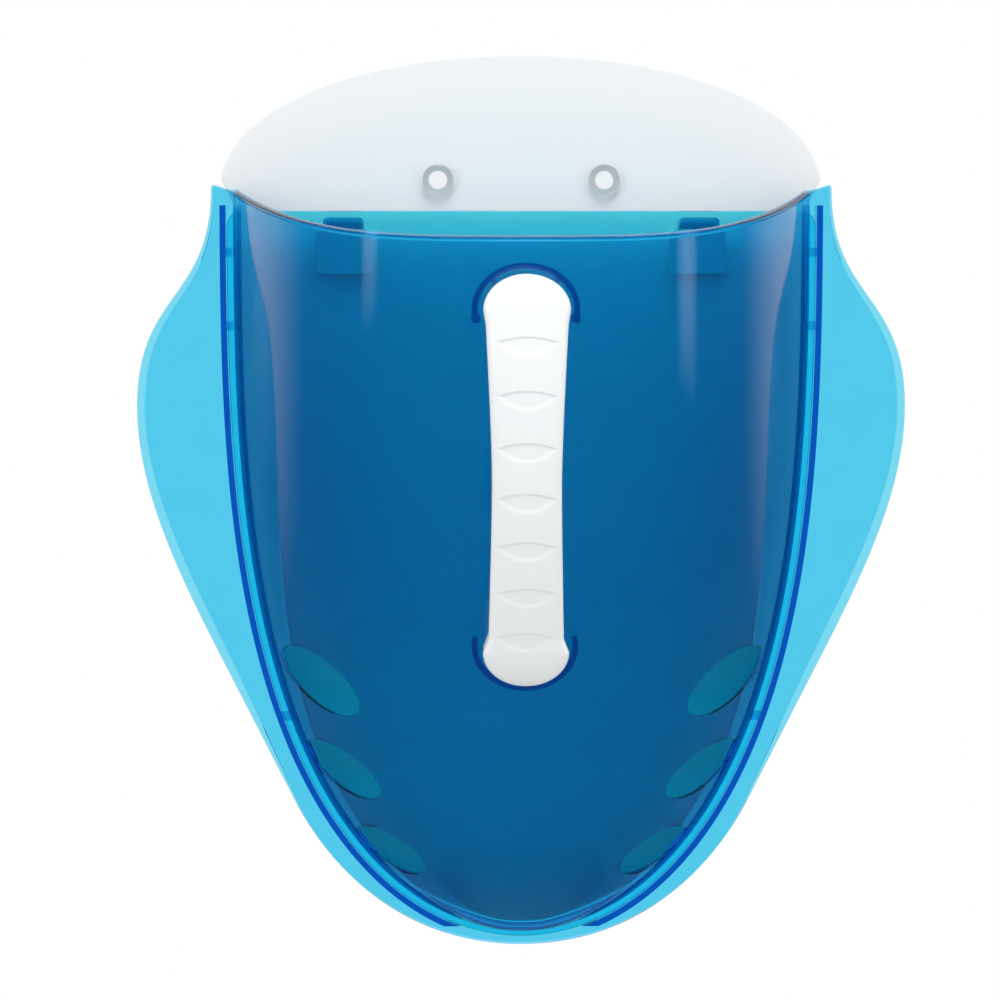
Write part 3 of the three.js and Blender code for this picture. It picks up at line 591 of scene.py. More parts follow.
down = add(bowl_tree, "ShaderNodeMath", {0: 1.0, 1: crowd}, operation="SUBTRACT").outputs[0]
tall = add(bowl_tree, "ShaderNodeMath", {0: size["Height"], 1: size["Grow"]}, operation="ADD").outputs[0]
span = add(bowl_tree, "ShaderNodeMath", {0: tall, 1: size["Headroom"]}, operation="ADD").outputs[0]
fall = add(bowl_tree, "ShaderNodeMath", {0: down, 1: span}, operation="MULTIPLY").outputs[0]
drop = add(bowl_tree, "ShaderNodeMath", {0: fall, 1: size["Headroom"]}, operation="SUBTRACT").outputs[0]
share = add(bowl_tree, "ShaderNodeMath", {0: drop, 1: tall}, operation="DIVIDE", use_clamp=True).outputs[0]
pinch = add(bowl_tree, "ShaderNodeMath", {0: share, 1: size["Outline Power"]}, operation="POWER").outputs[0]
left = add(bowl_tree, "ShaderNodeMath", {0: 1.0, 1: pinch}, operation="SUBTRACT", use_clamp=True).outputs[0]
narrow = add(bowl_tree, "ShaderNodeMath", {0: left}, operation="SQRT").outputs[0]
wide = add(bowl_tree, "ShaderNodeMath", {0: size["Half Width"], 1: size["Grow"]}, operation="ADD").outputs[0]
width = add(bowl_tree, "ShaderNodeMath", {0: wide, 1: narrow}, operation="MULTIPLY").outputs[0]
bowl_x = add(bowl_tree, "ShaderNodeMath", {0: width, 1: across}, operation="MULTIPLY").outputs[0]
deep = add(bowl_tree, "ShaderNodeMath", {0: size["Depth"], 1: size["Grow"]}, operation="ADD").outputs[0]
lost = add(bowl_tree, "ShaderNodeMath", {0: size["Taper"], 1: share}, operation="MULTIPLY").outputs[0]
kept = add(bowl_tree, "ShaderNodeMath", {0: deep, 1: lost}, operation="SUBTRACT").outputs[0]
curl = add(bowl_tree, "ShaderNodeMath", {0: share, 1: size["Profile Power"]}, operation="POWER").outputs[0]
rest = add(bowl_tree, "ShaderNodeMath", {0: 1.0, 1: curl}, operation="SUBTRACT", use_clamp=True).outputs[0]
bend = add(bowl_tree, "ShaderNodeMath", {0: rest}, operation="SQRT").outputs[0]
reach = add(bowl_tree, "ShaderNodeMath", {0: kept, 1: bend}, operation="MULTIPLY").outputs[0]
aside = add(bowl_tree, "ShaderNodeMath", {0: across}, operation="ABSOLUTE").outputs[0]
steep = add(bowl_tree, "ShaderNodeMath", {0: aside, 1: size["Section Power"]}, operation="POWER").outputs[0]
swell = add(bowl_tree, "ShaderNodeMath", {0: 1.0, 1: steep}, operation="SUBTRACT", use_clamp=True).outputs[0]
bulge = add(
    bowl_tree, "ShaderNodeMath", {0: reach, 1: swell, 2: size["Flange Out"]}, operation="MULTIPLY_ADD"
).outputs[0]
front_y = add(bowl_tree, "ShaderNodeMath", {0: bulge, 1: -1.0}, operation="MULTIPLY").outputs[0]
back_y = add(bowl_tree, "ShaderNodeMath", {0: size["Back"], 1: -1.0}, operation="MULTIPLY").outputs[0]
bowl_z = add(bowl_tree, "ShaderNodeMath", {0: size["Corner Z"], 1: drop}, operation="SUBTRACT").outputs[0]
front = add(bowl_tree, "ShaderNodeCombineXYZ", {0: bowl_x, 1: front_y, 2: bowl_z}).outputs[0]
back = add(bowl_tree, "ShaderNodeCombineXYZ", {0: bowl_x, 1: back_y, 2: bowl_z}).outputs[0]
marked = add(
    bowl_tree,
    "GeometryNodeStoreNamedAttribute",
    {"Geometry": grid, "Name": "front", "Value": front},
    data_type="FLOAT_VECTOR",
    domain="POINT",
).outputs[0]
flat = add(bowl_tree, "GeometryNodeSetPosition", {"Geometry": marked, "Position": back}).outputs[0]
pulled = add(bowl_tree, "GeometryNodeExtrudeMesh", {"Mesh": flat, "Offset Scale": 0.0, "Individual": False})
memory = add(
    bowl_tree, "GeometryNodeInputNamedAttribute", {"Name": "front"}, data_type="FLOAT_VECTOR"
).outputs[0]
curved = add(
    bowl_tree,
    "GeometryNodeSetPosition",
    {"Geometry": pulled.outputs["Mesh"], "Selection": pulled.outputs["Top"], "Position": memory},
).outputs[0]
rear = add(bowl_tree, "GeometryNodeFlipFaces", {"Mesh": flat}).outputs[0]
both = add(bowl_tree, "GeometryNodeJoinGeometry", {0: [curved, rear]}).outputs[0]
welded = add(
    bowl_tree, "GeometryNodeMergeByDistance", {"Geometry": both, "Distance": BOWL_WELD * MM}
).outputs[0]
plain = add(bowl_tree, "GeometryNodeRemoveAttribute", {"Geometry": welded, "Name": "front"}).outputs[0]
close_tree(bowl_tree, plain, blue_pp)


def dress(piece, material):
    """Gives a piece one material all over."""
    piece.data.materials.clear()
    piece.data.materials.append(material)


def empty_piece(name):
    """A piece without a mesh, for a tree that makes its own."""
    piece = bpy.data.objects.new(name, bpy.data.meshes.new(name))
    bpy.context.scene.collection.objects.link(piece)
    return piece


def bowl(grow, back):
    """The bowl as a filled solid from a flat back to its curved front, grown outwards."""
    return run_tree(empty_piece("bowl"), bowl_tree, {**bowl_sizes, "Grow": grow * MM, "Back": back * MM})


def middle_out(z, grow=0):
    """Distance of the bowl's surface from the wall on its middle line."""
    share = min(max((CORNER_Z - z) / (BOWL_HEIGHT + grow), 0), 1)
    depth = BOWL_DEPTH + grow - BOWL_TAPER * share
    return FLANGE_FRONT + depth * math.sqrt(1 - share ** PROFILE_POWER)


def bezier(points, steps):
    """Points along a Bezier curve of any degree, without its last one."""
    degree = len(points) - 1
    curve = []
    for i in range(steps):
        t = i / steps
        weights = [math.comb(degree, k) * t ** k * (1 - t) ** (degree - k) for k in range(degree + 1)]
        curve.append(tuple(sum(w * p[axis] for w, p in zip(weights, points)) for axis in (0, 1)))
    return curve


def wing_outline(band):
    """Outline of the flange and its wings, a band inside its edge, and less at the corners and bottom."""
    corner_band = band * CORNER_BAND / EDGE_BAND
    wing_x = CORNER_X + WING_REACH - band
    side_x = CORNER_X - corner_band
    rib_middle = (RIB_INSIDE + RIB_OUTSIDE) / 2
    tail_x = half_width(TAIL_DROP, rib_middle) + TAIL_LEDGE - band
    end_x = half_width(TAIL_END_DROP, rib_middle) + TAIL_END_LEDGE - corner_band
    bottom = BOWL_HEIGHT + BOTTOM_LEDGE - corner_band
    lean = (tail_x - end_x) / (TAIL_END_DROP - TAIL_DROP)
    knee = TAIL_FULLNESS * (bottom - TAIL_END_DROP)
    calf = WING_FULLNESS * (TAIL_DROP - WING_DROP)
    shoulder = SHOULDER_FULLNESS * WING_DROP
    tail_end = (end_x, TAIL_END_DROP)
    tail = (tail_x, TAIL_DROP)
    widest = (wing_x, WING_DROP)
    corner = (side_x, CORNER_ROUND + corner_band)
    round_dip = CORNER_ROUND * RIM_DIP / (CORNER_X - BOWL_HALF_WIDTH)
    corner_end = (side_x - CORNER_ROUND, corner_band + round_dip)
    top = (BOWL_HALF_WIDTH, RIM_DIP + corner_band)
    low_knee = (end_x - lean * knee, TAIL_END_DROP + knee)
    high_calf = (tail_x + lean * calf, TAIL_DROP - calf)
    low_shoulder = (wing_x, WING_DROP - shoulder + band / 2)
    high_shoulder = (side_x, shoulder + band / 2)
    right = bezier([(0, bottom), (BOTTOM_FULLNESS * end_x, bottom), low_knee, tail_end], CURVE_STEPS)
    right += bezier([tail_end, tail], TAIL_STEPS)
    right += bezier([tail, high_calf, (wing_x, WING_DROP + calf), widest], CURVE_STEPS)
    right += bezier([widest, low_shoulder, high_shoulder, corner], CURVE_STEPS)
    right += bezier([corner, (side_x, corner_band), corner_end], ROUND_STEPS) + [corner_end, top]
    left = [(-x, drop) for x, drop in reversed(right[1:])]
    return [(x, CORNER_Z - drop) for x, drop in right + left]


def edge_band(name, side, rings, drops, outs):
    """A strip that follows the bowl's edge between two rings outside it and two drops."""
    path = drops_between(*drops)
    outer = [(side * half_width(drop, rings[1]), CORNER_Z - drop) for drop in path]
    inner = [(side * half_width(drop, rings[0]), CORNER_Z - drop) for drop in reversed(path)]
    return stack(name, [lift(outer + inner, out) for out in outs])


def above_rim():
    """The space over the sloping rim."""
    near = FLANGE_FRONT - OVERCUT
    far = FLANGE_FRONT + 2 * BOWL_DEPTH
    top = CORNER_Z + 2 * HEADROOM
    ends = (-2 * BOWL_HALF_WIDTH, 2 * BOWL_HALF_WIDTH)
    profile = [(out, CORNER_Z - RIM_DIP - RIM_SLOPE * (out - FLANGE_FRONT)) for out in (near, far)]
    profile += [(far, top), (near, top)]
    return stack("above_rim", [[(x, *point) for point in profile] for x in ends])


def squared_round(power, steps):
    """A closed ring between a circle and a square, one out to each side."""
    turns = [2 * math.pi * i / steps for i in range(steps)]
    ways = [(math.cos(turn), math.sin(turn)) for turn in turns]
    return [tuple(math.copysign(abs(way) ** (2 / power), way) for way in pair) for pair in ways]


def rim_bead():
    """A flat bead with soft edges that follows the rim, swept along the middle of the wall."""
    section = squared_round(RIM_BEAD_POWER, RIM_BEAD_STEPS)
    upward = Vector((0, RIM_SLOPE, 1)).normalized()
    path = []
    for i in range(2 * PATH_STEPS + 1):
        u = math.sin((i / PATH_STEPS - 1) * math.pi / 2)
        z = CORNER_Z - RIM_DIP
        for _ in range(RIM_PASSES):
            swell = (middle_out(z, -WALL / 2) - FLANGE_FRONT) * (1 - abs(u) ** SECTION_POWER)
            z = CORNER_Z - RIM_DIP - RIM_SLOPE * swell
        path.append(Vector((half_width(CORNER_Z - z, -WALL / 2) * u, FLANGE_FRONT + swell, z)))
    for end in (0, -1):
        root = Vector((path[end].x, FLANGE_BACK + EDGE_SOFTNESS, path[end].z))
        path.insert(0 if end == 0 else len(path), root)
    rings = []
    for i, point in enumerate(path):
        along = path[min(i + 1, len(path) - 1)] - path[max(i - 1, 0)]
        outward = along.cross(upward).normalized()
        centre = point - upward * RIM_BEAD_HALF_HEIGHT
        rings.append([
            tuple(centre + outward * RIM_BEAD_HALF_WIDTH * a + upward * RIM_BEAD_HALF_HEIGHT * b)
            for a, b in section
        ])
    return stack("rim_bead", rings)


def collar(z, turn):
    """A half ring round a foot, turned up or down."""
    inner = FOOT_HALF_WIDTH + COLLAR_GAP
    cap = FOOT_CAP - FOOT_HALF_WIDTH
    first = -math.radians(COLLAR_OVERRUN)
    angles = [first + (math.pi - 2 * first) * i / PATH_STEPS for i in range(PATH_STEPS + 1)]
    outline = []
    for radius, arc in ((inner + COLLAR_WALL, angles), (inner, angles[::-1])):
        outline += [(radius * math.cos(a), z + turn * (radius + cap) * math.sin(a)) for a in arc]
    return outline


def gusset(angle):
    """A short rib from the upper collar towards the foot."""
    cap = FOOT_CAP - FOOT_HALF_WIDTH
    along_x = math.cos(math.radians(angle))
    along_z = math.sin(math.radians(angle))
    half = GUSSET_WIDTH / 2
    near = FOOT_HALF_WIDTH + 2 * GAP
    far = FOOT_HALF_WIDTH + COLLAR_GAP + COLLAR_WALL / 2
    outline = []
    for radius, offset in ((near, -half), (far, -half), (far, half), (near, half)):
        z = UPPER_FOOT_Z + (radius + cap) * along_z + offset * along_x
        outline.append((radius * along_x - offset * along_z, z))
    return outline


step_rings = [(2 * EDGE_SOFTNESS, FLANGE_BACK)]
step_rings += [(band, FLANGE_BACK + short) for band, short in reversed(quarter(EDGE_SOFTNESS))]
edge_front = FLANGE_BACK + EDGE_THICKNESS
step_rings += [(band, edge_front - short) for band, short in quarter(EDGE_SOFTNESS)]
step_rings += [(2 * EDGE_SOFTNESS, edge_front), (EDGE_BAND - STEP_WIDTH, edge_front)]
step_rings += [(EDGE_BAND, FLANGE_FRONT), (EDGE_BAND + STEP_WIDTH, FLANGE_FRONT)]
wings = stack("wings", [lift(wing_outline(band), out) for band, out in step_rings])
rib_share = RIB_END_X / (BOWL_HALF_WIDTH + RIB_OUTSIDE)
rib_end = (BOWL_HEIGHT + RIB_OUTSIDE) * (1 - rib_share ** 2) ** (1 / OUTLINE_POWER)
rib_outs = (RIB_BACK, FLANGE_FRONT - GAP)
ribs = [
    edge_band("rib", side, (RIB_INSIDE, RIB_OUTSIDE), (RIB_TOP_DROP, rib_end), rib_outs) for side in SIDES
]
collar_outlines = [collar(UPPER_FOOT_Z, 1), collar(LOWER_FOOT_Z, -1)]
collar_middle = FOOT_HALF_WIDTH + COLLAR_GAP + COLLAR_WALL / 2
end_x = collar_middle * math.cos(math.radians(COLLAR_OVERRUN))
end_below = (collar_middle + FOOT_CAP - FOOT_HALF_WIDTH) * math.sin(math.radians(COLLAR_OVERRUN))
collar_outlines += [
    circle(COLLAR_END_RADIUS, side * end_x, UPPER_FOOT_Z - end_below) for side in SIDES
]
collar_outs = (FLANGE_FRONT + BOWL_DEPTH / 3, FLANGE_FRONT + 2 * BOWL_DEPTH)
collars = []
for outline in collar_outlines + [gusset(angle) for angle in GUSSET_ANGLES]:
    tower = stack("collar", [lift(outline, out) for out in collar_outs])
    collars.append(combine(tower, "INTERSECT", [bowl(COLLAR_PROUD, FLANGE_BACK)]))
shell = bowl(0, FLANGE_BACK)
shell.name = "scoop_shell"
combine(shell, "DIFFERENCE", [above_rim()])
combine(shell, "UNION", [wings, *ribs, *collars])
combine(shell, "DIFFERENCE", [bowl(-WALL, FLANGE_BACK - OVERCUT)])
screw_places = [(side * SCREW_X, z) for z in (UPPER_FOOT_Z, LOWER_FOOT_Z) for side in SIDES]
pads = []
screw_holes = []
for x, z in screw_places:
    seat = middle_out(z, -WALL) - PAD_PROUD
    pad = rod("pad", x, z, PAD_RADIUS, seat, seat + PAD_LENGTH)
    pads.append(combine(pad, "INTERSECT", [bowl(-WALL / 2, FLANGE_BACK)]))
    screw_holes.append(rod("screw_hole", x, z, SCREW_HOLE_RADIUS, seat - OVERCUT, seat + SCREW_HOLE_REACH))
lugs = []
for side in SIDES:
    for drop in LUG_DROPS:
        drops = (drop, drop + LUG_LENGTH)
        lugs.append(edge_band("lug", side, (LUG_IN, LUG_OUT), drops, (LUG_BACK, LUG_FRONT)))
combine(shell, "UNION", [rim_bead(), *pads, *lugs])

drain_sizes = {
    **{name: bowl_sizes[name] for name in ("Half Width", "Height", "Outline Power", "Corner Z")},
    "From": (FLANGE_FRONT + OVERCUT) * MM,
    "To": (FLANGE_FRONT + BOWL_DEPTH + OVERCUT) * MM,
}
drain_tree, size = shape_tree("pair_of_drain_holes", [*drain_sizes, *DRAINS[0]])
index = add(drain_tree, "GeometryNodeInputIndex").outputs[0]
side = add(drain_tree, "ShaderNodeMath", {0: index, 1: 2.0, 2: -1.0}, operation="MULTIPLY_ADD").outputs[0]
pinch = add(
    drain_tree, "ShaderNodeMath", {0: size["Along"], 1: size["Outline Power"]}, operation="POWER"
).outputs[0]
left = add(drain_tree, "ShaderNodeMath", {0: 1.0, 1: pinch}, operation="SUBTRACT").outputs[0]
narrow = add(drain_tree, "ShaderNodeMath", {0: left}, operation="SQRT").outputs[0]
width = add(
    drain_tree, "ShaderNodeMath", {0: size["Half Width"], 1: narrow}, operation="MULTIPLY"
).outputs[0]
reach = add(drain_tree, "ShaderNodeMath", {0: width, 1: size["Across"]}, operation="MULTIPLY").outputs[0]
drain_x = add(drain_tree, "ShaderNodeMath", {0: reach, 1: side}, operation="MULTIPLY").outputs[0]
drop = add(
    drain_tree, "ShaderNodeMath", {0: size["Along"], 1: size["Height"]}, operation="MULTIPLY"
).outputs[0]
drain_z = add(drain_tree, "ShaderNodeMath", {0: size["Corner Z"], 1: drop}, operation="SUBTRACT").outputs[0]
ends = add(drain_tree, "ShaderNodeMath", {0: size["From"], 1: size["To"]}, operation="ADD").outputs[0]
drain_y = add(drain_tree, "ShaderNodeMath", {0: ends, 1: -0.5}, operation="MULTIPLY").outputs[0]
spot = add(drain_tree, "ShaderNodeCombineXYZ", {0: drain_x, 1: drain_y, 2: drain_z}).outputs[0]
spots = add(drain_tree, "GeometryNodePoints", {"Count": len(SIDES), "Position": spot}).outputs[0]
length = add(drain_tree, "ShaderNodeMath", {0: size["To"], 1: size["From"]}, operation="SUBTRACT").outputs[0]
oval = add(drain_tree, "ShaderNodeCombineXYZ", {0: size["Long"], 1: size["Short"], 2: length}).outputs[0]
drum = add(
    drain_tree, "GeometryNodeMeshCylinder", {"Vertices": DRAIN_STEPS, "Radius": 1.0, "Depth": 1.0}
).outputs[0]
punch = add(
    drain_tree,
    "GeometryNodeTransform",
    {"Geometry": drum, "Rotation": (math.pi / 2, 0, 0), "Scale": oval},
).outputs[0]
tilt = add(drain_tree, "ShaderNodeMath", {0: size["Slope"], 1: side}, operation="MULTIPLY").outputs[0]
lean = add(drain_tree, "ShaderNodeMath", {0: tilt, 1: -1.0}, operation="MULTIPLY").outputs[0]
angles = add(drain_tree, "ShaderNodeCombineXYZ", {1: lean}).outputs[0]
turned = add(drain_tree, "FunctionNodeEulerToRotation", {0: angles}).outputs[0]
placed = add(
    drain_tree, "GeometryNodeInstanceOnPoints", {"Points": spots, "Instance": punch, "Rotation": turned}
)
close_tree(drain_tree, placed.outputs[0], blue_pp)
punches = [run_tree(empty_piece("drain"), drain_tree, {**drain_sizes, **drain}) for drain in DRAINS]
combine(shell, "DIFFERENCE", punches + screw_holes)
shade(shell, SHELL_CREASE)
dress(shell, blue_pp)
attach(shell, "scoop")
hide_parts("front_shell")

# Handle back
# The rear half of the bow handle, moulded in white ABS: a strap with soft edges and the two feet that stand
# on the shell inside the collars. Its front face is the parting line of the handle.
HANDLE_SPAN = UPPER_FOOT_Z - LOWER_FOOT_Z
HANDLE_REACH = 36
HANDLE_BOW = 8
HANDLE_SPLIT = 7
HANDLE_THICKNESS = 14
STRAP_POWER = 3.2
WAIST_HALF_WIDTH = 14.6
WAIST_EASE = 18
UPPER_NECK_HALF_WIDTH = 17.2
UPPER_NECK_FALL = 6
LOWER_NECK_HALF_WIDTH = 15.9
LOWER_NECK_RISE = 6
FOOT_INNER = 13
FOOT_POWER = 4.5
FOOT_SHY = 0.4
FOOT_ROOT = 20
INNER_ROUND = 9
STRAP_ROWS = 220
STRAP_EDGE_STEPS = 14
STRAP_FLAT_STEPS = 20
STRAP_FLAT = 0.72
STRAP_TIP = 0.02
PARTING_SPARE = 1
CAP_STEPS = 36
LEAST_STEP = 1e-9
HANDLE_CREASE = 38


def face_out(z):
    """Outer face of the handle on its middle line."""
    share = (UPPER_FOOT_Z - z) / HANDLE_SPAN
    top = middle_out(UPPER_FOOT_Z) + HANDLE_REACH
    bottom = middle_out(LOWER_FOOT_Z) + HANDLE_REACH
    return top + (bottom - top) * share + 4 * HANDLE_BOW * share * (1 - share)


waist_z = (UPPER_FOOT_Z + LOWER_FOOT_Z) / 2
waist = (WAIST_HALF_WIDTH, waist_z)
upper_neck = (UPPER_NECK_HALF_WIDTH, UPPER_FOOT_Z - UPPER_NECK_FALL)
lower_neck = (LOWER_NECK_HALF_WIDTH, LOWER_FOOT_Z + LOWER_NECK_RISE)
strap_side = [(FOOT_HALF_WIDTH, UPPER_FOOT_Z)]
strap_side += bezier([upper_neck, (WAIST_HALF_WIDTH, waist_z + WAIST_EASE), waist], CURVE_STEPS)
strap_side += bezier([waist, (WAIST_HALF_WIDTH, waist_z - WAIST_EASE), lower_neck], CURVE_STEPS)
strap_side += [lower_neck, (FOOT_HALF_WIDTH, LOWER_FOOT_Z)]


def strap_half_width(z):
    """Half the handle's width at a height, as seen from the front."""
    if z > UPPER_FOOT_Z:
        return FOOT_HALF_WIDTH * math.sqrt(max(0, 1 - ((z - UPPER_FOOT_Z) / FOOT_CAP) ** 2))
    if z < LOWER_FOOT_Z:
        return FOOT_HALF_WIDTH * math.sqrt(max(0, 1 - ((LOWER_FOOT_Z - z) / FOOT_CAP) ** 2))
    for (wide_a, high), (wide_b, low) in zip(strap_side, strap_side[1:]):
        if low <= z <= high:
            return wide_a + (wide_b - wide_a) * (high - z) / max(high - low, LEAST_STEP)
    return FOOT_HALF_WIDTH


def strap_levels(rows):
    """Heights along the handle, crowded at its round ends."""
    caps = [math.sin(math.pi / 2 * (1 - i / CAP_STEPS)) for i in range(CAP_STEPS)]
    levels = [UPPER_FOOT_Z + FOOT_CAP * cap for cap in caps]
    levels += [UPPER_FOOT_Z - HANDLE_SPAN * i / rows for i in range(rows + 1)]
    return levels + [LOWER_FOOT_Z - FOOT_CAP * cap for cap in reversed(caps)]


def strap_section(power):
    """Half an oval from side to side, as pairs of how far across and how high it is."""
    full = math.asin(STRAP_FLAT ** (power / 2))
    edge = [full + (math.pi / 2 - full) * i / STRAP_EDGE_STEPS for i in range(1, STRAP_EDGE_STEPS + 1)]
    right = [(math.sin(a) ** (2 / power), max(0, math.cos(a)) ** (2 / power)) for a in edge]
    flat = [STRAP_FLAT * (2 * i / STRAP_FLAT_STEPS - 1) for i in range(STRAP_FLAT_STEPS + 1)]
    middle = [(t, (1 - abs(t) ** power) ** (1 / power)) for t in flat]
    return [(-t, high) for t, high in reversed(right)] + middle + right


def foot(name, z, turn):
    """A foot from inside the bowl to past the parting line, flared into the strap on its finger side."""
    inner_z = z - turn * FOOT_INNER
    rear = face_out(inner_z) - HANDLE_THICKNESS
    root = middle_out(z) - FOOT_ROOT
    flares = [(root, 0), (rear - INNER_ROUND, 0)]
    for i in range(1, 2 * ROUND_STEPS + 1):
        angle = math.pi / 2 * i / (2 * ROUND_STEPS)
        flares.append((rear - INNER_ROUND * (1 - math.sin(angle)), INNER_ROUND * (1 - math.cos(angle))))
    flares.append((face_out(z) + HANDLE_BOW, INNER_ROUND))
    rings = []
    for out, flare in flares:
        ring = []
        for i in range(2 * PATH_STEPS):
            angle = math.pi * i / PATH_STEPS
            across = math.cos(angle)
            along = math.sin(angle)
            if along < 0:
                across = math.copysign(abs(across) ** (2 / FOOT_POWER), across)
                along = -((FOOT_INNER + flare) / FOOT_CAP) * abs(along) ** (2 / FOOT_POWER)
            height = z + turn * FOOT_CAP * along
            widest = max(strap_half_width(height) - FOOT_SHY, 0)
            ring.append((math.copysign(min(FOOT_HALF_WIDTH * abs(across), widest), across), out, height))
        rings.append(ring)
    return stack(name, rings)


def before_split(behind):
    """The space in front of the handle's parting face, moved back by a distance."""
    top = UPPER_FOOT_Z + FOOT_CAP + OVERCUT
    bottom = LOWER_FOOT_Z - FOOT_CAP - OVERCUT
    levels = [top + (bottom - top) * i / PATH_STEPS for i in range(PATH_STEPS + 1)]
    far = face_out(UPPER_FOOT_Z) + 2 * HANDLE_REACH
    ends = (-2 * FOOT_HALF_WIDTH, 2 * FOOT_HALF_WIDTH)
    profile = [(face_out(z) - HANDLE_SPLIT - behind, z) for z in levels] + [(far, bottom), (far, top)]
    return stack("before_split", [[(x, *point) for point in profile] for x in ends])


strap_rings = []
for z in strap_levels(STRAP_ROWS):
    half = max(strap_half_width(z), STRAP_TIP)
    parting = face_out(z) - HANDLE_SPLIT
    rear = [
        (t * half, parting - (HANDLE_THICKNESS - HANDLE_SPLIT) * high, z)
        for t, high in strap_section(STRAP_POWER)
    ]
    spare = parting + PARTING_SPARE
    strap_rings.append([(half, spare, z), (-half, spare, z)] + rear)
handle_back = stack("handle_rear_half", strap_rings)
feet = [foot("foot", UPPER_FOOT_Z, 1), foot("foot", LOWER_FOOT_Z, -1)]
combine(handle_back, "UNION", feet)
bores = [
    rod("bore", x, z, SCREW_HOLE_RADIUS, FLANGE_FRONT, face_out(z) + HANDLE_REACH) for x, z in screw_places
]
combine(handle_back, "DIFFERENCE", [bowl(GAP, FLANGE_BACK), before_split(GAP), *bores])
shade(handle_back, HANDLE_CREASE)
dress(handle_back, white_abs)
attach(handle_back, "scoop")
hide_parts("handle_back")

# Handle grip
# The front half of the handle, moulded in white ABS with seven shallow lens-shaped marks for the fingers.
# The four screws pull it back against the rear half.
GRIP_ROWS = 600
GRIP_POWER = 3.4
END_ROUND = 12
END_POWER = 2.2
MARK_COUNT = 7
MARK_PITCH = 22.4
MARK_CLOSING = 0.65
MARK_START = 13.3
MARK_HALF_WIDTH = 13
MARK_RISE = 2.6
MARK_FALL = 6.3
MARK_DEPTH = 0.4
MARK_UPPER_EDGE = 0.6
MARK_LOWER_EDGE = 2.4
FACE_SHY = 0.15
SCREW_COVER = 2.4

grip_rings = []
for z in strap_levels(GRIP_ROWS):
    half = max(strap_half_width(z), STRAP_TIP)
    parting = face_out(z) - HANDLE_SPLIT
    to_end = min(UPPER_FOOT_Z + FOOT_CAP - z, z - LOWER_FOOT_Z + FOOT_CAP)
    past = max(0, 1 - to_end / END_ROUND)
    rise = (HANDLE_SPLIT - FACE_SHY) * max(0, 1 - past ** END_POWER) ** (1 / END_POWER)
    grip_rings.append([(t * half, parting + rise * high, z) for t, high in strap_section(GRIP_POWER)])
grip = stack("handle_front_half", grip_rings)
mark_sizes = {
    "Count": MARK_COUNT,
    "Pitch": MARK_PITCH * MM,
    "Closing": MARK_CLOSING * MM,
    "First Z": (UPPER_FOOT_Z - MARK_START) * MM,
    "Half Width": MARK_HALF_WIDTH * MM,
    "Rise": MARK_RISE * MM,
    "Fall": MARK_FALL * MM,
    "Depth": MARK_DEPTH * MM,
    "Upper Edge": MARK_UPPER_EDGE * MM,
    "Lower Edge": MARK_LOWER_EDGE * MM,
}
mark_tree, size = shape_tree("row_of_grip_marks", mark_sizes)
here = add(mark_tree, "GeometryNodeInputPosition").outputs[0]
axes = add(mark_tree, "ShaderNodeSeparateXYZ", {0: here}).outputs
below = add(mark_tree, "ShaderNodeMath", {0: size["First Z"], 1: axes[2]}, operation="SUBTRACT").outputs[0]
bend = add(mark_tree, "ShaderNodeMath", {0: size["Closing"], 1: 0.5}, operation="MULTIPLY").outputs[0]
pace = add(mark_tree, "ShaderNodeMath", {0: size["Pitch"], 1: bend}, operation="ADD").outputs[0]
pace_square = add(mark_tree, "ShaderNodeMath", {0: pace, 1: pace}, operation="MULTIPLY").outputs[0]
short = add(mark_tree, "ShaderNodeMath", {0: below, 1: size["Closing"]}, operation="MULTIPLY").outputs[0]
inside = add(
    mark_tree, "ShaderNodeMath", {0: short, 1: -2.0, 2: pace_square}, operation="MULTIPLY_ADD"
).outputs[0]
root = add(mark_tree, "ShaderNodeMath", {0: inside}, operation="SQRT").outputs[0]
gain = add(mark_tree, "ShaderNodeMath", {0: pace, 1: root}, operation="SUBTRACT").outputs[0]
count = add(mark_tree, "ShaderNodeMath", {0: gain, 1: size["Closing"]}, operation="DIVIDE").outputs[0]
whole = add(mark_tree, "ShaderNodeMath", {0: count}, operation="ROUND").outputs[0]
last = add(mark_tree, "ShaderNodeMath", {0: size["Count"], 1: 1.0}, operation="SUBTRACT").outputs[0]
top = add(mark_tree, "ShaderNodeMath", {0: whole, 1: 0.0}, operation="MAXIMUM").outputs[0]
number = add(mark_tree, "ShaderNodeMath", {0: top, 1: last}, operation="MINIMUM").outputs[0]
slack = add(mark_tree, "ShaderNodeMath", {0: number, 1: bend}, operation="MULTIPLY").outputs[0]
stride = add(mark_tree, "ShaderNodeMath", {0: pace, 1: slack}, operation="SUBTRACT").outputs[0]
step = add(mark_tree, "ShaderNodeMath", {0: number, 1: stride}, operation="MULTIPLY").outputs[0]
above = add(mark_tree, "ShaderNodeMath", {0: step, 1: below}, operation="SUBTRACT").outputs[0]
across = add(mark_tree, "ShaderNodeMath", {0: axes[0], 1: size["Half Width"]}, operation="DIVIDE").outputs[0]
square = add(mark_tree, "ShaderNodeMath", {0: across, 1: across}, operation="MULTIPLY").outputs[0]
arch = add(mark_tree, "ShaderNodeMath", {0: 1.0, 1: square}, operation="SUBTRACT", use_clamp=True).outputs[0]
lid = add(mark_tree, "ShaderNodeMath", {0: arch, 1: size["Rise"]}, operation="MULTIPLY").outputs[0]
under_lid = add(mark_tree, "ShaderNodeMath", {0: lid, 1: above}, operation="SUBTRACT").outputs[0]
over_sill = add(
    mark_tree, "ShaderNodeMath", {0: arch, 1: size["Fall"], 2: above}, operation="MULTIPLY_ADD"
).outputs[0]
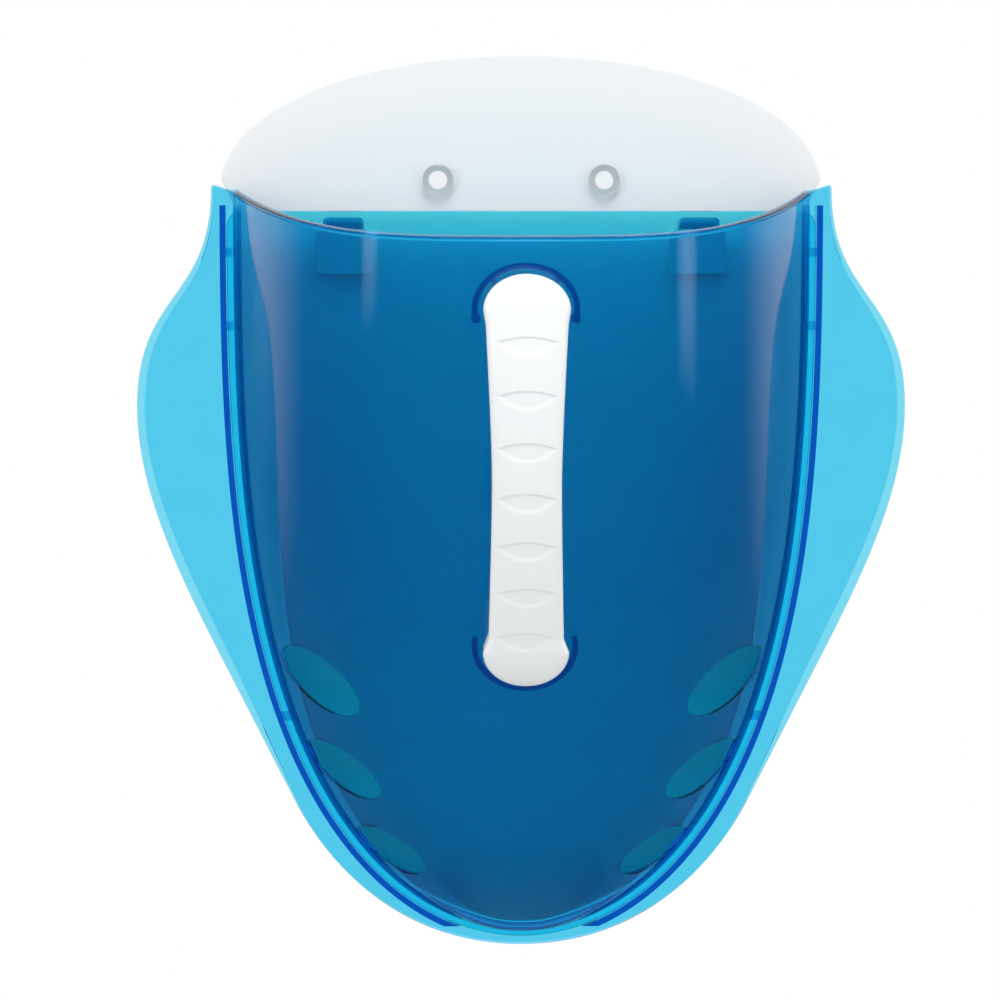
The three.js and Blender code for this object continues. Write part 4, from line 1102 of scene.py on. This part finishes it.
upper = add(
    mark_tree,
    "ShaderNodeMapRange",
    {0: under_lid, "From Max": size["Upper Edge"]},
    interpolation_type="SMOOTHSTEP",
).outputs[0]
lower = add(
    mark_tree,
    "ShaderNodeMapRange",
    {0: over_sill, "From Max": size["Lower Edge"]},
    interpolation_type="SMOOTHSTEP",
).outputs[0]
mask = add(mark_tree, "ShaderNodeMath", {0: upper, 1: lower}, operation="MULTIPLY").outputs[0]
sunk = add(mark_tree, "ShaderNodeMath", {0: mask, 1: size["Depth"]}, operation="MULTIPLY").outputs[0]
shift = add(mark_tree, "ShaderNodeCombineXYZ", {1: sunk}).outputs[0]
pressed = add(mark_tree, "GeometryNodeSetPosition", {"Geometry": size["Mesh"], "Offset": shift}).outputs[0]
close_tree(mark_tree, pressed, white_abs)
run_tree(grip, mark_tree, mark_sizes)
bores = [
    rod("bore", x, z, SCREW_HOLE_RADIUS, face_out(z) - HANDLE_THICKNESS, face_out(z) - SCREW_COVER + GAP)
    for x, z in screw_places
]
combine(grip, "DIFFERENCE", bores)
shade(grip, HANDLE_CREASE)
dress(grip, white_abs)
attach(grip, "scoop")
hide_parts("handle_grip")

# Handle screws
# Four pan-head tapping screws of zinc-plated steel with a cross recess. They are driven from inside the bowl
# through its pads and the feet into the front half of the handle.
SCREW_RADIUS = 1.9
SCREW_CORE_RADIUS = 1.45
SCREW_PITCH = 1.6
SCREW_HEAD_RADIUS = 3.8
SCREW_HEAD_THICKNESS = 2.6
SCREW_HEAD_SIDE = 0.9
SCREW_POINT = 3
SCREW_STEPS = 32
SCREW_CREASE = 40
THREAD_START = 2
RECESS_HALF_LENGTH = 2
RECESS_HALF_WIDTH = 0.45
RECESS_DEPTH = 1.5
RECESS_CORNER = 0.2
RECESS_SOFTNESS = 0.05
RECESS_OVERCUT = 1
BLOOM_SIZE = 1.5

screw_length = face_out(UPPER_FOOT_Z) - SCREW_COVER - middle_out(UPPER_FOOT_Z, -WALL) + PAD_PROUD
dome = [math.pi / 2 * i / (2 * ROUND_STEPS) for i in range(2 * ROUND_STEPS + 1)]
crown = SCREW_HEAD_THICKNESS - SCREW_HEAD_SIDE
screw_profile = [
    (max(SCREW_HEAD_RADIUS * math.sin(a), POLE), -GAP - SCREW_HEAD_SIDE - crown * math.cos(a)) for a in dome
]
screw_profile += [(SCREW_HEAD_RADIUS, -GAP), (SCREW_CORE_RADIUS, -GAP)]
turns = int((screw_length - SCREW_POINT - THREAD_START) / SCREW_PITCH)
for i in range(turns):
    start = THREAD_START + i * SCREW_PITCH
    screw_profile += [(SCREW_CORE_RADIUS, start), (SCREW_RADIUS, start + SCREW_PITCH / 2)]
screw_profile += [(SCREW_CORE_RADIUS, screw_length - SCREW_POINT), (POLE, screw_length)]
screw_rings = [lift(circle(radius, steps=SCREW_STEPS), out) for radius, out in screw_profile]
screws = stack("handle_screws", screw_rings)
head_out = -GAP - SCREW_HEAD_THICKNESS
recess_out = (head_out - RECESS_OVERCUT, head_out + RECESS_DEPTH)
long = (-RECESS_HALF_LENGTH, RECESS_HALF_LENGTH)
narrow = (-RECESS_HALF_WIDTH, RECESS_HALF_WIDTH)
recesses = [
    block("recess", x, z, *recess_out, RECESS_CORNER, RECESS_SOFTNESS)
    for x, z in ((long, narrow), (narrow, long))
]
combine(screws, "DIFFERENCE", recesses)

# Zinc-plated steel: bright grey metal with a slightly bluish, cloudy passivation.
zinc_steel, tree, place = new_material("zinc_plated_steel")
bloom = add(tree, "ShaderNodeTexNoise", {"Vector": place, "Scale": 1 / (BLOOM_SIZE * MM), "Detail": 3.0})
metal = add(
    tree,
    "ShaderNodeMix",
    {0: bloom.outputs[0], 6: linear("#C9CCD0"), 7: linear("#B4BAC2")},
    data_type="RGBA",
)
dull = add(tree, "ShaderNodeMapRange", {0: bloom.outputs[0], "To Min": 0.2, "To Max": 0.42})
shader = add(
    tree,
    "ShaderNodeBsdfPrincipled",
    {"Base Color": metal.outputs[2], "Roughness": dull.outputs[0], "Metallic": 1.0},
)
add(tree, "ShaderNodeOutputMaterial", {"Surface": shader.outputs[0]})

screw_sizes = {
    "Spread": SCREW_X * MM,
    "Upper Z": UPPER_FOOT_Z * MM,
    "Lower Z": LOWER_FOOT_Z * MM,
    "Upper Seat": (middle_out(UPPER_FOOT_Z, -WALL) - PAD_PROUD) * MM,
    "Lower Seat": (middle_out(LOWER_FOOT_Z, -WALL) - PAD_PROUD) * MM,
}
screw_tree, size = shape_tree("screws_in_feet", screw_sizes)
side, level = side_and_level(screw_tree)
screw_x = add(screw_tree, "ShaderNodeMath", {0: side, 1: size["Spread"]}, operation="MULTIPLY").outputs[0]
screw_z = add(screw_tree, "ShaderNodeMix", {0: level, 2: size["Upper Z"], 3: size["Lower Z"]}).outputs[0]
seat = add(screw_tree, "ShaderNodeMix", {0: level, 2: size["Upper Seat"], 3: size["Lower Seat"]}).outputs[0]
screw_y = add(screw_tree, "ShaderNodeMath", {0: seat, 1: -1.0}, operation="MULTIPLY").outputs[0]
spot = add(screw_tree, "ShaderNodeCombineXYZ", {0: screw_x, 1: screw_y, 2: screw_z}).outputs[0]
spots = add(screw_tree, "GeometryNodePoints", {"Count": len(screw_places), "Position": spot}).outputs[0]
placed = add(screw_tree, "GeometryNodeInstanceOnPoints", {"Points": spots, "Instance": size["Mesh"]})
close_tree(screw_tree, placed.outputs[0], zinc_steel)
run_tree(screws, screw_tree, screw_sizes)
shade(screws, SCREW_CREASE)
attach(screws, "scoop")
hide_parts("handle_screw_upper_left", "handle_screw_upper_right")
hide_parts("handle_screw_lower_left", "handle_screw_lower_right")

# Back panel
# The rear wall of the scoop, a flat moulding of a paler blue polypropylene. It snaps in behind the flange,
# where the lugs hold its edge, and two hooks on its back drop into the pockets of the wall bracket.
PANEL_BACK = 20.5
PANEL_FRONT = 23
PANEL_RING = 2.95
PANEL_TOP_DROP = 12
PANEL_CORNER = 8
PANEL_SOFTNESS = 0.5
PANEL_CREASE = 32
HOOK_HALF_WIDTH = 9
HOOK_BACK = 12.8
HOOK_ROOT_BACK = 13.8
HOOK_FRONT = 16.2
HOOK_TOP = -17
HOOK_SEAT = -22
HOOK_END = -39
HOOK_CORNER = 2
HOOK_SOFTNESS = 0.5


def panel_outline(band):
    """A straight top with round corners and two sides along the rib, a band inside the panel's edge."""
    right = side_line(PANEL_RING - band, PANEL_TOP_DROP + PANEL_CORNER)
    edge_x, start_z = right[0]
    top = CORNER_Z - PANEL_TOP_DROP - band
    corner = bezier([(edge_x - PANEL_CORNER, top), (edge_x, top), (edge_x, start_z)], 2 * ROUND_STEPS)
    half = corner + right
    return half + [(-x, z) for x, z in reversed(half[:-1])]


panel = plate("rear_wall", panel_outline, PANEL_BACK, PANEL_FRONT, PANEL_SOFTNESS)
root_front = (PANEL_BACK + PANEL_FRONT) / 2
hooks = []
for side in SIDES:
    hook_x = (side * HOOK_X - HOOK_HALF_WIDTH, side * HOOK_X + HOOK_HALF_WIDTH)
    for low, back, front in ((HOOK_SEAT, HOOK_ROOT_BACK, root_front), (HOOK_END, HOOK_BACK, HOOK_FRONT)):
        hooks.append(block("hook", hook_x, (low, HOOK_TOP), back, front, HOOK_CORNER, HOOK_SOFTNESS))
combine(panel, "UNION", hooks)
shade(panel, PANEL_CREASE)

# Pale blue polypropylene: the same clear plastic with a greener, lighter tint, so that the bowl with its
# rear wall behind it stays a mid blue.
pale_pp = blue_polypropylene("pale_blue_polypropylene", colour="#0FF6FD", pigment=850.0)
dress(panel, pale_pp)
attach(panel, "scoop")
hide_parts("back_panel")

# Studio
# A plain pale floor well below the part, which hangs as on a wall, an even white surround, and soft boxes
# from above, from the left and from the right.
FLOOR_Z = -1500
FLOOR_RADIUS = 650
FLOOR_PLAIN_RADIUS = 325
FLOOR_GLOW = 0.6
FLOOR_GLEAM = 0.2
CAMERA_PLACE = Vector((-30, -1725.8, -33)) * MM
CAMERA_AIM = Vector((-9.675, -25.8, -143.75)) * MM
CAMERA_LENS = 136.3
SENSOR_WIDTH = 36
ROOM_LIGHT = 0.75
FRONT_GLEAM = 0.08
PAPER_FORWARD_EDGE = 0.2
PAPER_FORWARD_FULL = 0.68
PAPER_LOWER_EDGE = -0.28
PAPER_LOWER_FULL = -0.04
LAMP_AIM = Vector((0, -100, -150)) * MM
LAMP_FADE_GAIN = 9 / 4  # makes up for the fade (1 - u^2)(1 - v^2), whose mean is 4 / 9
LAMPS = (
    {"name": "overhead_box", "place": (100, -700, 1300), "size": (1400, 900), "watts": 14},
    {"name": "left_box", "place": (-1500, -1200, 300), "size": (500, 1400), "watts": 7},
    {"name": "right_box", "place": (1600, -1000, 200), "size": (600, 1400), "watts": 5},
)

floor_points = [(x * MM, y * MM, FLOOR_Z * MM) for x, y in circle(FLOOR_RADIUS)]
floor_mesh = bpy.data.meshes.new("studio_floor")
floor_mesh.from_pydata(floor_points, [], [range(len(floor_points))])
floor = bpy.data.objects.new("studio_floor", floor_mesh)
bpy.context.scene.collection.objects.link(floor)


def seen_directly(tree):
    """Whether a ray sees the surround straight or through clear plastic, and whether in a gloss."""
    path = add(tree, "ShaderNodeLightPath").outputs
    rays = {0: path["Is Camera Ray"], 1: path["Is Transmission Ray"]}
    clear = add(tree, "ShaderNodeMath", rays, operation="MAXIMUM").outputs[0]
    return clear, path["Is Glossy Ray"]


# Matt pale paint that takes the part's shadow in the middle and runs out into the white surround at its rim.
# In a gloss it dims towards its rim, so that it ends without a line there.
pale_floor, tree, place = new_material("pale_studio_floor")
clear, mirror = seen_directly(tree)
matt = add(tree, "ShaderNodeBsdfDiffuse", {"Color": linear("#E9EAEA")})
flat = add(tree, "ShaderNodeVectorMath", {0: place, 1: (1, 1, 0)}, operation="MULTIPLY").outputs[0]
away = add(tree, "ShaderNodeVectorMath", {0: flat}, operation="LENGTH").outputs["Value"]
white_out = add(
    tree,
    "ShaderNodeMapRange",
    {
        0: away,
        "From Min": FLOOR_PLAIN_RADIUS * MM,
        "From Max": FLOOR_RADIUS * MM,
        "To Min": FLOOR_GLOW,
    },
    interpolation_type="SMOOTHSTEP",
).outputs[0]
dim = add(
    tree,
    "ShaderNodeMapRange",
    {0: away, "From Max": FLOOR_RADIUS * MM, "To Min": FLOOR_GLEAM, "To Max": FRONT_GLEAM},
    interpolation_type="SMOOTHSTEP",
).outputs[0]
level = add(tree, "ShaderNodeMix", {0: mirror, 2: 1.0, 3: dim}).outputs[0]
glow = add(tree, "ShaderNodeEmission", {"Color": (1, 1, 1, 1), "Strength": level})
part = add(tree, "ShaderNodeMath", {0: clear, 1: white_out}, operation="MULTIPLY").outputs[0]
share = add(tree, "ShaderNodeMath", {0: part, 1: mirror}, operation="MAXIMUM").outputs[0]
mixed = add(tree, "ShaderNodeMixShader", {0: share, 1: matt.outputs[0], 2: glow.outputs[0]})
add(tree, "ShaderNodeOutputMaterial", {"Surface": mixed.outputs[0]})
floor.data.materials.append(pale_floor)

# White paper all round lights the part and shows behind it. The part's gloss mirrors the paper that hangs
# behind it, which fades out forwards and downwards into a dark room, apart from the soft boxes.
world = bpy.data.worlds.new("white_paper_room")
bpy.context.scene.world = world
world.use_nodes = True
tree = world.node_tree
tree.nodes.clear()
clear, mirror = seen_directly(tree)
way = add(tree, "ShaderNodeTexCoord").outputs["Generated"]
axes = add(tree, "ShaderNodeSeparateXYZ", {0: way}).outputs
behind = add(
    tree,
    "ShaderNodeMapRange",
    {0: axes[1], "From Min": PAPER_FORWARD_EDGE, "From Max": PAPER_FORWARD_FULL},
    interpolation_type="SMOOTHSTEP",
).outputs[0]
high = add(
    tree,
    "ShaderNodeMapRange",
    {0: axes[2], "From Min": PAPER_LOWER_EDGE, "From Max": PAPER_LOWER_FULL},
    interpolation_type="SMOOTHSTEP",
).outputs[0]
hung = add(tree, "ShaderNodeMath", {0: behind, 1: high}, operation="MULTIPLY").outputs[0]
mirrored = add(tree, "ShaderNodeMath", {0: mirror, 1: hung}, operation="MULTIPLY").outputs[0]
seen = add(tree, "ShaderNodeMath", {0: clear, 1: mirrored}, operation="MAXIMUM").outputs[0]
room = add(tree, "ShaderNodeMix", {0: mirror, 2: ROOM_LIGHT, 3: FRONT_GLEAM}).outputs[0]
level = add(tree, "ShaderNodeMath", {0: room, 1: seen}, operation="MAXIMUM").outputs[0]
paper = add(tree, "ShaderNodeBackground", {"Color": (1, 1, 1, 1), "Strength": level})
add(tree, "ShaderNodeOutputWorld", {"Surface": paper.outputs[0]})


def soft_box(name, place, size, watts):
    """A rectangular lamp whose light falls off towards its edges."""
    lamp = bpy.data.lights.new(name, "AREA")
    lamp.shape = "RECTANGLE"
    lamp.size, lamp.size_y = (length * MM for length in size)
    lamp.energy = watts
    lamp.use_nodes = True
    tree = lamp.node_tree
    tree.nodes.clear()
    spot = add(tree, "ShaderNodeNewGeometry").outputs["Parametric"]
    level = LAMP_FADE_GAIN
    for axis in add(tree, "ShaderNodeSeparateXYZ", {0: spot}).outputs[:2]:
        aside = add(tree, "ShaderNodeMath", {0: axis, 1: 2.0, 2: -1.0}, operation="MULTIPLY_ADD").outputs[0]
        square = add(tree, "ShaderNodeMath", {0: aside, 1: aside}, operation="MULTIPLY").outputs[0]
        fade = add(
            tree, "ShaderNodeMath", {0: 1.0, 1: square}, operation="SUBTRACT", use_clamp=True
        ).outputs[0]
        level = add(tree, "ShaderNodeMath", {0: level, 1: fade}, operation="MULTIPLY").outputs[0]
    cloth = add(tree, "ShaderNodeEmission", {"Color": (1, 1, 1, 1), "Strength": level})
    add(tree, "ShaderNodeOutputLight", {"Surface": cloth.outputs[0]})
    holder = bpy.data.objects.new(name, lamp)
    holder.location = Vector(place) * MM
    holder.rotation_euler = (LAMP_AIM - holder.location).to_track_quat("-Z", "Y").to_euler()
    holder.visible_camera = False
    bpy.context.scene.collection.objects.link(holder)


for lamp in LAMPS:
    soft_box(**lamp)

lens = bpy.data.cameras.new("photo_camera")
lens.lens = CAMERA_LENS
lens.sensor_width = SENSOR_WIDTH
lens.clip_start = 0.05
lens.clip_end = 50
camera = bpy.data.objects.new("photo_camera", lens)
camera.location = CAMERA_PLACE
camera.rotation_euler = (CAMERA_AIM - CAMERA_PLACE).to_track_quat("-Z", "Y").to_euler()
bpy.context.scene.collection.objects.link(camera)
bpy.context.scene.camera = camera
bpy.context.scene.view_settings.view_transform = "Standard"
